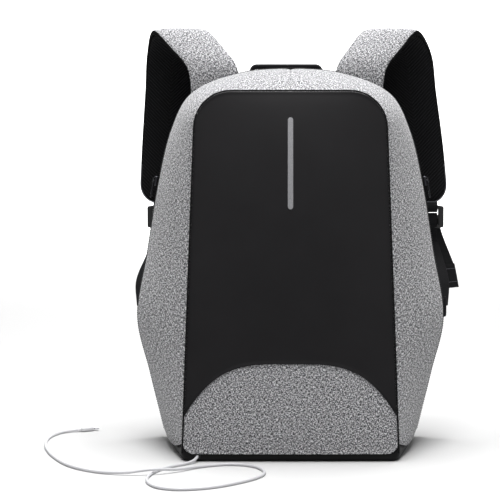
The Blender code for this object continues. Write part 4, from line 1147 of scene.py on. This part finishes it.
# %% Inflated pads
def inflated(name, low, high, cap, pressure=4.0, voxel=0.005):
    """A block blown up by cloth pressure, each point held within cap of where it started."""
    mesh = bpy.data.meshes.new(name)
    with editing(mesh) as work:
        bmesh.ops.create_cube(work, size=1.0)
        bmesh.ops.scale(work, vec=Vector(high - low), verts=work.verts)
        bmesh.ops.translate(work, vec=Vector((high + low) / 2), verts=work.verts)
    obj = bpy.data.objects.new(name, mesh)
    bpy.context.scene.collection.objects.link(obj)
    grid = obj.modifiers.new("grid", "REMESH")
    grid.mode = "VOXEL"
    grid.voxel_size = voxel
    apply_shape(obj)
    rest = vertex_array(obj.data)
    cloth = obj.modifiers.new("cloth", "CLOTH")
    cloth.settings.use_pressure = True
    cloth.settings.uniform_pressure_force = pressure
    cloth.settings.effector_weights.gravity = 0.0
    for step in range(1, 21):
        bpy.context.scene.frame_set(step)
    apply_shape(obj)
    moved = vertex_array(obj.data)
    step = moved - rest
    far = np.linalg.norm(step, axis=1)[:, None]
    moved = rest + step * np.minimum(1.0, cap / np.maximum(far, 1e-9))
    place_vertices(obj, moved)
    bpy.context.scene.frame_set(1)
    smooth = obj.modifiers.new("smooth", "SUBSURF")
    smooth.levels = 1
    smooth.render_levels = 1
    apply_shape(obj)
    return obj


def apply_shape(obj):
    """Replace an object's mesh by what its modifiers make of it, and drop them."""
    seen = obj.evaluated_get(bpy.context.evaluated_depsgraph_get())
    made = bpy.data.meshes.new_from_object(seen)
    obj.modifiers.clear()
    obj.data = made


def quilted(obj, low, high, lines, along_z):
    """Press channels into the rear face, at even steps along one axis, and level the sewn face."""
    points = vertex_array(obj.data)
    axis = 2 if along_z else 0
    spots = np.linspace(low[axis], high[axis], lines + 2)[1:-1]
    nearest = np.abs(points[:, axis, None] - spots[None]).min(axis=1)
    rear = np.clip((points[:, 1] - (low[1] + high[1]) / 2) / 0.002, 0, 1)
    points[:, 1] -= rear * 0.0022 * np.exp(-(nearest / 0.0028) ** 2)
    points[:, 1] = np.maximum(points[:, 1], PAD_Y + 0.0001)
    place_vertices(obj, points)
    obj.data.shade_smooth()


PAD_CHANNELS = (("back_pad_left", 6, True), ("back_pad_right", 6, True), ("lumbar_pad", 5, False))
for node, lines, along_z in PAD_CHANNELS:
    low, high = box_of(node)
    inset = np.array((0.0030, 0.0, 0.0030))
    start_low = low + inset
    start_high = high - inset - (0, 0.0010, 0)
    pad = inflated(node + "_foam", start_low, start_high, 0.0040)
    quilted(pad, start_low, start_high, lines, along_z)
    pad.data.materials.append(PAD_MESH)
    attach(pad, "back_panel")
    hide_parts(node)
    print(node, len(pad.data.polygons), "faces")

# %% [markdown]
# ## Webbing and straps
#
# A strap is a section carried along a route. The section's flat side keeps to a chosen direction
# across the strap, and its other axis is square to that and to the route, so the strap never
# twists by accident. The padded straps rise from the yoke, go over the top and hang behind.

# %% Sections along a strap
def strap_axes(route, across):
    """Unit width and outer directions at each point: outer is across times the tangent."""
    across = unit(np.broadcast_to(np.asarray(across, float), route.shape))
    ahead = np.gradient(route, axis=0)
    ahead = unit(ahead - np.sum(across * ahead, axis=1)[:, None] * across)
    return across, np.cross(across, ahead)


def strap_mesh(name, route, across, half, thick, offset=0.0, squareness=0.3, sides=40, crown=0.0):
    """A closed strap: a superellipse section, half wide and thick deep, offset to the outer side.

    crown lifts the outer face by 1 - s^2 of the share s across. The map runs along the strap in u
    and across it in v, from the middle line.
    """
    across, outer = strap_axes(route, across)
    turn = full_turn(sides)[None, :]
    half = np.broadcast_to(np.asarray(half, float), len(route))[:, None]
    thick = np.broadcast_to(np.asarray(thick, float), len(route))[:, None]
    wide = half * power(np.cos(turn), squareness)
    deep = thick / 2 * power(np.sin(turn), squareness * 1.5) + offset
    deep = deep + crown * np.clip(np.sin(turn), 0, 1) * (1 - (wide / half) ** 2)
    grid = route[:, None] + across[:, None] * wide[:, :, None] + outer[:, None] * deep[:, :, None]
    along = np.concatenate(([0.0], np.cumsum(np.linalg.norm(np.diff(route, axis=0), axis=1))))
    uv = np.stack((np.broadcast_to(along[:, None], wide.shape), wide), axis=-1)
    uv = np.concatenate((uv, uv[:, :1]), axis=1)
    return solid(name, grid, uv)


def webbing_mesh(name, route, across, half, thick):
    """A strap with the square edges and the few sides that narrow webbing needs."""
    return strap_mesh(name, route, across, half, thick, squareness=0.22, sides=20)


# %% Shoulder straps
STRAP_HALF = 0.0315
STRAP_PAD_THICK = 0.0060
STRAP_LINING_THICK = 0.0050
STRAP_RISE = 0.0460
STRAP_ROOT_X = {"left": 0.088, "right": 0.080}
STRAP_CREST_X = {"left": 0.131, "right": 0.119}
STRAP_END_X = {"left": 0.150, "right": 0.158}
STRAP_ROOT_Z = 0.392
STRAP_END_Z = 0.277
STRAP_HEM = 0.0060
STRAP_SQUARENESS = 0.42
STRAP_SIDES = 56
LOCK_X = {"left": 0.154, "right": 0.166}
LOCK_LENGTH = 0.0270
LOCK_FLARE = 0.0026
STRAP_BACK = 0.158
ANCHOR_X = {"left": 0.1765, "right": 0.181}
TAIL_DROP = {"left": (0.014, 0.006, -0.060), "right": (0.024, 0.006, -0.060)}
WEBBING_HALF = 0.0100
WEBBING_THICK = 0.0015
LOOP_THICK = 0.0013
BAR_HEIGHT = 0.0042


def strap_route(suffix, side):
    """Centre line of a strap: up from its sewn root, over the crest and down behind the bag."""
    root = STRAP_ROOT_X[suffix]
    crest = STRAP_CREST_X[suffix]
    end = STRAP_END_X[suffix]
    top = BODY_HEIGHT + STRAP_RISE - STRAP_PAD_THICK
    root_y = PAD_Y + 0.0020 + 0.0003 + STRAP_LINING_THICK + 0.0035
    points = ((root, root_y, STRAP_ROOT_Z),
              (root + 0.06 * (crest - root), root_y + 0.0035, STRAP_ROOT_Z + 0.036),
              (root + 0.42 * (crest - root), root_y + 0.0140, top - 0.022),
              (crest, 0.125, top),
              (crest + 0.45 * (end - crest), 0.149, top - 0.024),
              (crest + 0.62 * (end - crest), STRAP_BACK, top - 0.068),
              (crest + 0.85 * (end - crest), STRAP_BACK + 0.001, STRAP_END_Z + 0.060),
              (end, STRAP_BACK - 0.009, STRAP_END_Z - STRAP_HEM))
    return smooth_route([(side * x, y, z) for x, y, z in points], 150)


def strap_half(count):
    """Half widths: narrower at the root, fuller where the strap hangs, rounded at the lower end."""
    share = np.linspace(0, 1, count)
    half = STRAP_HALF - 0.004 * np.exp(-(share / 0.16) ** 2)
    ending = np.clip((share - 0.925) / 0.075, 0, 1)
    return half * (1 - 0.62 * (1 - np.sqrt(1 - (ending * 0.98) ** 2)))


def two_faced(mesh, rows, sides, lowest):
    """Give the second material to a strap's sides and under face, below a share of its height."""
    turn = (np.arange(sides) + 0.5) * 2 * math.pi / sides
    under = (np.sin(turn) < lowest).astype(np.int32)
    index = np.zeros(len(mesh.polygons), np.int32)
    index[:(rows - 1) * sides] = np.tile(under, rows - 1)
    mesh.polygons.foreach_set("material_index", index)
    return mesh


for label, sign in SIDES:
    body = "strap_" + label
    route = strap_route(label, sign)
    half = strap_half(len(route))
    share = np.linspace(0, 1, len(route))
    rounded = np.sqrt(np.clip(1 - (np.clip((share - 0.965) / 0.035, 0, 1)) ** 2, 0.06, 1))
    pad_mesh = strap_mesh("strap_cloth_" + label, route, (1, 0, 0), half,
                          STRAP_PAD_THICK * rounded, 0.0032, STRAP_SQUARENESS, STRAP_SIDES, 0.0012)
    pad = piece(two_faced(pad_mesh, len(route), STRAP_SIDES, 0.30), [MELANGE, BINDING], body,
                "strap_pad_" + label)
    lining_mesh = strap_mesh("strap_mesh_" + label, route, (1, 0, 0), half - 0.0026,
                             STRAP_LINING_THICK * rounded, -0.0024, STRAP_SQUARENESS, STRAP_SIDES)
    lining = piece(lining_mesh, [SPACER_MESH], body, "strap_lining_" + label)
    across, outer = strap_axes(route, (1, 0, 0))
    edge = half[:, None] - 0.0014
    around = np.vstack((route - across * edge, (route + across * edge)[::-1]))
    trim = solid("strap_binding_" + label, tube_grid(around, BINDING_RADIUS, 10))
    piece(trim, [BINDING], body)
    hem_rows = slice(len(route) - 22, len(route))
    hem_line = np.vstack((route[hem_rows] - across[hem_rows] * edge[hem_rows],
                          (route[hem_rows] + across[hem_rows] * edge[hem_rows])[::-1])) - (0, 0.0030, 0)
    hem = solid("strap_hem_" + label, tube_grid(hem_line, 0.0007, 8))
    piece(hem, [THREAD], body)
    print("strap", label, round(length_of(route), 3), "m long")

# %% [markdown]
# ## Webbing below the straps
#
# Each strap ends in a short stub of webbing sewn round the top bar of a ladder lock. The adjusting
# webbing comes up from the hip, over the middle bar and back down as a loose tail with a folded
# end. The lock tips, so the upper end of the webbing is given no body here, to be blended between
# the strap and the lock, and its lower end likewise, to be blended between the strap and the back
# panel.

# %% Stubs, locks, webbing and tails
def lower_route(suffix, side):
    """Centre line of the lower webbing, from below the lock to the anchor at the hip."""
    lock = LOCK_X[suffix]
    hip = ANCHOR_X[suffix]
    top = STRAP_END_Z - 0.0105 - LOCK_LENGTH - 0.0010
    points = ((lock, STRAP_BACK - 0.0105, top),
              (lock, STRAP_BACK - 0.0110, top - 0.010),
              (lock + 0.45 * (hip - lock), STRAP_BACK - 0.024, top - 0.032),
              (hip, 0.104, ANCHOR_Z + 0.026),
              (hip, PAD_Y + WEBBING_HALF + 0.0030, ANCHOR_Z))
    return smooth_route([(side * x, y, z) for x, y, z in points], 90)


def twisting(first, last, side, count):
    """A width direction that turns about the vertical from one angle to another."""
    turn = np.linspace(first, last, count)
    return np.stack((np.cos(turn), np.sin(turn) * side, 0 * turn), axis=1)


for label, sign in SIDES:
    strap_body = "strap_" + label
    lock_body = "lock_" + label
    lock_x = sign * LOCK_X[label]
    lock_y = STRAP_BACK - 0.0105
    lock_top = STRAP_END_Z - 0.0105
    slot = (LOCK_LENGTH - 3 * BAR_HEIGHT) / 2

    end = strap_route(label, sign)[-1]
    stub_turn = ((0.0, end[2] + 0.0030), (0.0, end[2] - 0.0008), (-0.0038, lock_top + 0.0012),
                 (-0.0046, lock_top - 0.0021), (-0.0034, lock_top - 0.0060), (0.0, lock_top - 0.0075),
                 (0.0034, lock_top - 0.0060), (0.0046, lock_top - 0.0021), (0.0038, lock_top + 0.0012),
                 (0.0016, end[2] - 0.0008))
    stub_route = smooth_route([(lock_x, lock_y + y, z) for y, z in stub_turn], 40)
    stub_mesh = webbing_mesh("strap_stub_loop_" + label, stub_route, (1, 0, 0), WEBBING_HALF,
                             LOOP_THICK)
    piece(stub_mesh, [WEBBING], strap_body, "strap_stub_" + label)

    lock_frame = refined("ladder_lock_frame_" + label, "ladder_lock_" + label, ACETAL, lock_body, 0.0012)
    frame_points = vertex_array(lock_frame.data)
    reach = frame_points[:, 0] - lock_x
    rim = np.abs(reach) > np.abs(reach).max() - 0.0015
    frame_points[:, 0] += LOCK_FLARE * np.sign(reach) * rim
    place_vertices(lock_frame, frame_points)

    route = lower_route(label, sign)
    across = twisting(0.15, 1.15, sign, len(route))
    low_mesh = webbing_mesh("lower_webbing_run_" + label, route[8:], across[8:], WEBBING_HALF,
                            WEBBING_THICK)
    low_piece = piece(low_mesh, [WEBBING], None, "lower_webbing_" + label)
    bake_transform(low_piece)
    hip = ANCHOR_X[label]
    tab_turn = ((0.0200, 0.0036), (0.0080, 0.0038), (0.0005, 0.0075), (0.0, 0.0135), (0.0, 0.0240))
    tab_line = [(sign * (hip - inward), PAD_Y + depth, ANCHOR_Z) for inward, depth in tab_turn]
    tab_mesh = strap_mesh("anchor_tab_" + label, smooth_route(tab_line, 50), (0, 0, 1), 0.0115, 0.0032)
    piece(tab_mesh, [WEBBING], "back_panel")

    mid_bar = lock_top - BAR_HEIGHT - slot - BAR_HEIGHT / 2
    low_bar = lock_top - LOCK_LENGTH
    wrap_turn = ((-0.0022, low_bar + 0.0010), (-0.0034, low_bar + 0.0060), (-0.0034, mid_bar - 0.0010),
                 (-0.0024, mid_bar + 0.0030), (0.0, mid_bar + 0.0042), (0.0026, mid_bar + 0.0034),
                 (0.0037, mid_bar + 0.0004))
    wrap_line = [(lock_x, lock_y + y, z) for y, z in wrap_turn]
    wrap_route = smooth_route([route[12], route[8], route[3]] + wrap_line, 70)
    wrap_mesh = webbing_mesh("webbing_through_lock_" + label, wrap_route,
                             twisting(0.20, 0.0, sign, 70), WEBBING_HALF - 0.0002, LOOP_THICK)
    wrap = piece(wrap_mesh, [WEBBING], None)
    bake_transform(wrap)

    tail_top = np.array((lock_x, lock_y + 0.0034, lock_top - 0.012))
    tail_end = tail_top + np.array(TAIL_DROP[label]) * (sign, 1, 1)
    tail_bow = tail_top * 0.6 + tail_end * 0.4 + (-sign * 0.002, 0.001, 0)
    tail = smooth_route([tail_top, tail_bow, tail_end], 50)
    tail_across = twisting(0.0, 0.75, sign, 50)
    tail_mesh = webbing_mesh("webbing_tail_run_" + label, tail, tail_across, WEBBING_HALF, WEBBING_THICK)
    piece(tail_mesh, [WEBBING], lock_body, "webbing_tail_" + label)
    stop = smooth_route([tail_end + (0, 0, 0.0010), tail_end + (sign * 0.0030, 0.0002, -0.014),
                         tail_end + (sign * 0.0055, 0, -0.0280)], 30)
    stop_way = twisting(0.75, 0.75, sign, 30)
    stop_mesh = strap_mesh("folded_end_" + label, stop, stop_way, WEBBING_HALF + 0.0009, 0.0030, sides=24)
    piece(stop_mesh, [WEBBING], lock_body, "tail_stop_" + label)
    stop_across, stop_outer = strap_axes(stop, stop_way)
    for index, share in enumerate((6, 22)):
        ends = np.array((-0.8, 0.8))[:, None] * WEBBING_HALF * stop_across[share]
        row = stop[share] + ends - stop_outer[share] * 0.0015
        stitches("folded_end_stitches_%s_%d" % (label, index), row, -stop_outer[share], THREAD, lock_body,
                 0.0022)

# %% [markdown]
# ## The grab handle
#
# The handle is doubled webbing standing on edge behind the top seam. Its section is carried round
# an arch with round shoulders, and the middle is rolled thicker for the hand.

# %% Grab handle
handle_low, handle_high = box_of("grab_handle")
handle_y = (handle_low[1] + handle_high[1]) / 2
HANDLE_THICK = 0.0045
leg = (handle_high[0] - handle_low[0]) / 2 - HANDLE_THICK / 2
handle_x = (handle_high[0] + handle_low[0]) / 2
handle_top = handle_high[2] - HANDLE_THICK / 2
bend = 0.0055
shoulder = np.linspace(0, math.pi / 2, 14)
corner_line = np.stack((leg - bend + bend * np.cos(shoulder), np.full(14, handle_y),
                        handle_top - bend + bend * np.sin(shoulder)), axis=1)
half_handle = np.vstack(((leg, handle_y, handle_low[2] + 0.0002), corner_line))
handle_line = np.vstack((half_handle * (-1, 1, 1), half_handle[::-1])) + (handle_x, 0, 0)
handle_line = evenly_spaced(handle_line, 110)
middle_share = np.abs(np.linspace(-1, 1, 110))
handle_half = (handle_high[1] - handle_low[1]) / 2 - 0.0012 * np.exp(-(middle_share / 0.45) ** 4)
grip_share = np.exp(-(middle_share / 0.66) ** 10)
handle_thick = HANDLE_THICK * (0.80 + 0.60 * grip_share)
handle_line[:, 2] -= 0.0008 * grip_share
handle_mesh = strap_mesh("handle_webbing", handle_line, (0, 1, 0), handle_half, handle_thick,
                         squareness=0.45, sides=36)
piece(handle_mesh, [WEBBING], "handle", "grab_handle")

# %% [markdown]
# ## The luggage band
#
# A wide elastic band crosses the back so that the bag can ride on a trolley's handle. It is sewn
# down at both feet, rises over the pads and lies flat across them.

# %% Luggage band
band_low, band_high = box_of("luggage_band")
band_half = (band_high[0] - band_low[0]) / 2
band_far = band_high[1] - 0.0010
band_points = ((band_half - 0.0100, PAD_Y + 0.0012), (band_half - 0.0030, PAD_Y + 0.0012),
               (band_half - 0.0012, PAD_Y + 0.0050), (band_half - 0.0022, band_far - 0.0040),
               (band_half - 0.0100, band_far), (band_half * 0.5, band_far))
band_line = [(x, y, band_low[2] / 2 + band_high[2] / 2) for x, y in band_points]
band_line = band_line + [(-x, y, z) for x, y, z in band_line[::-1]]
band_route = smooth_route(band_line, 200)
band_rise = (band_high[2] - band_low[2]) / 2
band_mesh = strap_mesh("luggage_band_web", band_route, (0, 0, 1), band_rise, 0.0018,
                       squareness=0.16, sides=48)
piece(band_mesh, [BACK_CLOTH], "back_panel", "luggage_band")
for index, height in enumerate((band_low[2] + 0.003, band_high[2] - 0.003)):
    line = band_route[24:-24].copy()
    line[:, 2] = height
    line[:, 1] += 0.0009
    stitches("luggage_band_stitches_%d" % index, line, (0, 1, 0), THREAD, "back_panel", 0.0036)

# %% [markdown]
# ## Inside the bag
#
# Four pockets hang inside: two sleeves on the back panel, an organiser and a small pocket for the
# power bank. Each is a sheet round a rounded plan, closed below, a little fuller in the middle,
# with a binding on its open rim.

# %% Pockets
def pocket_sheet(name, node, body, corner, bulge, thick):
    """Rings of a rounded plan from the sewn bottom to the open rim, and a bound rim.

    The plan is a superellipse; each ring bulges by bulge times the sine of its height.
    """
    low, high = box_of(node)
    centre = (low + high) / 2
    half = (high - low) / 2
    turn = full_turn(120)
    plan_x = power(np.cos(turn), corner) * half[0]
    plan_y = power(np.sin(turn), corner) * half[1]
    plan = closed_loop(np.column_stack((plan_x, plan_y)), 160)
    heights = np.concatenate(((0.0, 0.0, 0.002), np.linspace(0.006, 2 * half[2], 30)))
    shrink = np.concatenate(((0.55, 0.90, 0.97), np.ones(30)))
    full = 1 - bulge * (1 - np.sin(math.pi * heights / (2 * half[2])))
    rings = plan[None] * shrink[:, None, None]
    rings = rings * np.stack((np.ones(33), full), axis=1)[:, None, :]
    levels = np.broadcast_to((low[2] + heights)[:, None, None], rings.shape[:2] + (1,))
    grid = np.concatenate((rings + centre[:2], levels), axis=-1)
    mesh = close_ends(grid_mesh(name, grid, around=True), low[2] + 0.001)
    obj = piece(mesh, [LINING], body, node)
    wall(obj, thick)
    rim = grid[-1]
    binding = tube_grid(np.vstack((rim, rim[:1])), BINDING_RADIUS, 10)
    piece(solid(name + "_binding", binding), [BINDING], body)


pocket_sheet("laptop_pocket", "laptop_sleeve", "back_panel", 0.22, 0.10, 0.0016)
pocket_sheet("tablet_pocket", "tablet_sleeve", "back_panel", 0.22, 0.10, 0.0016)
pocket_sheet("organiser_cloth", "organiser_pocket", "shell", 0.3, 0.12, 0.0013)
pocket_sheet("bank_pocket_cloth", "bank_pocket", "shell", 0.3, 0.06, 0.0013)

# %% Power bank and its lead
BANK_SHELL = moulded("textured_black_abs", "18181a", 0.45, 0.5)
refined("power_bank_case", "power_bank", BANK_SHELL, "shell", 0.0012)
refined("bank_plug_moulding", "bank_plug", WHITE_ABS, "shell", 0.0007)
bank_low, bank_high = box_of("power_bank")
plug_low, plug_high = box_of("bank_plug")
plug_x = (plug_low[0] + plug_high[0]) / 2
plug_y = (plug_low[1] + plug_high[1]) / 2
for index in range(4):
    centre = np.array((bank_low[0] + 0.012 + 0.005 * index, bank_low[1] - 0.0001, bank_high[2] - 0.012))
    ring = full_turn(16)[None, :]
    rise = np.array((0.0011, 0.0010, 0.0006))[:, None]
    depth = np.array((0.0003, -0.0001, -0.0003))[:, None]
    lens = np.stack((centre[0] + rise * np.cos(ring), centre[1] + depth + 0 * ring,
                     centre[2] + rise * np.sin(ring)), axis=-1)
    lens_mesh = solid("charge_light_%d" % index, lens)
    piece(lens_mesh, [WHITE_ABS], "shell")
outlet_x, outlet_y, outlet_z = OUTLET
inner_points = ((outlet_x, outlet_y - 0.0019, outlet_z), (outlet_x, outlet_y + 0.010, outlet_z),
                (outlet_x - 0.003, outlet_y + 0.034, 0.0085), (outlet_x - 0.004, outlet_y + 0.050, 0.028),
                (outlet_x + 0.001, outlet_y + 0.052, 0.080), (outlet_x + 0.008, outlet_y + 0.048, 0.128),
                (plug_x - 0.007, plug_y + 0.008, plug_high[2] + 0.0223),
                (plug_x, plug_y, plug_high[2] + 0.0163), (plug_x, plug_y, plug_high[2] + 0.0003))
inner_mesh = solid("inner_lead_jacket", tube_grid(smooth_route(inner_points, 120), LEAD_RADIUS, 12))
piece(inner_mesh, [LEAD_TPE], "shell", "inner_lead")
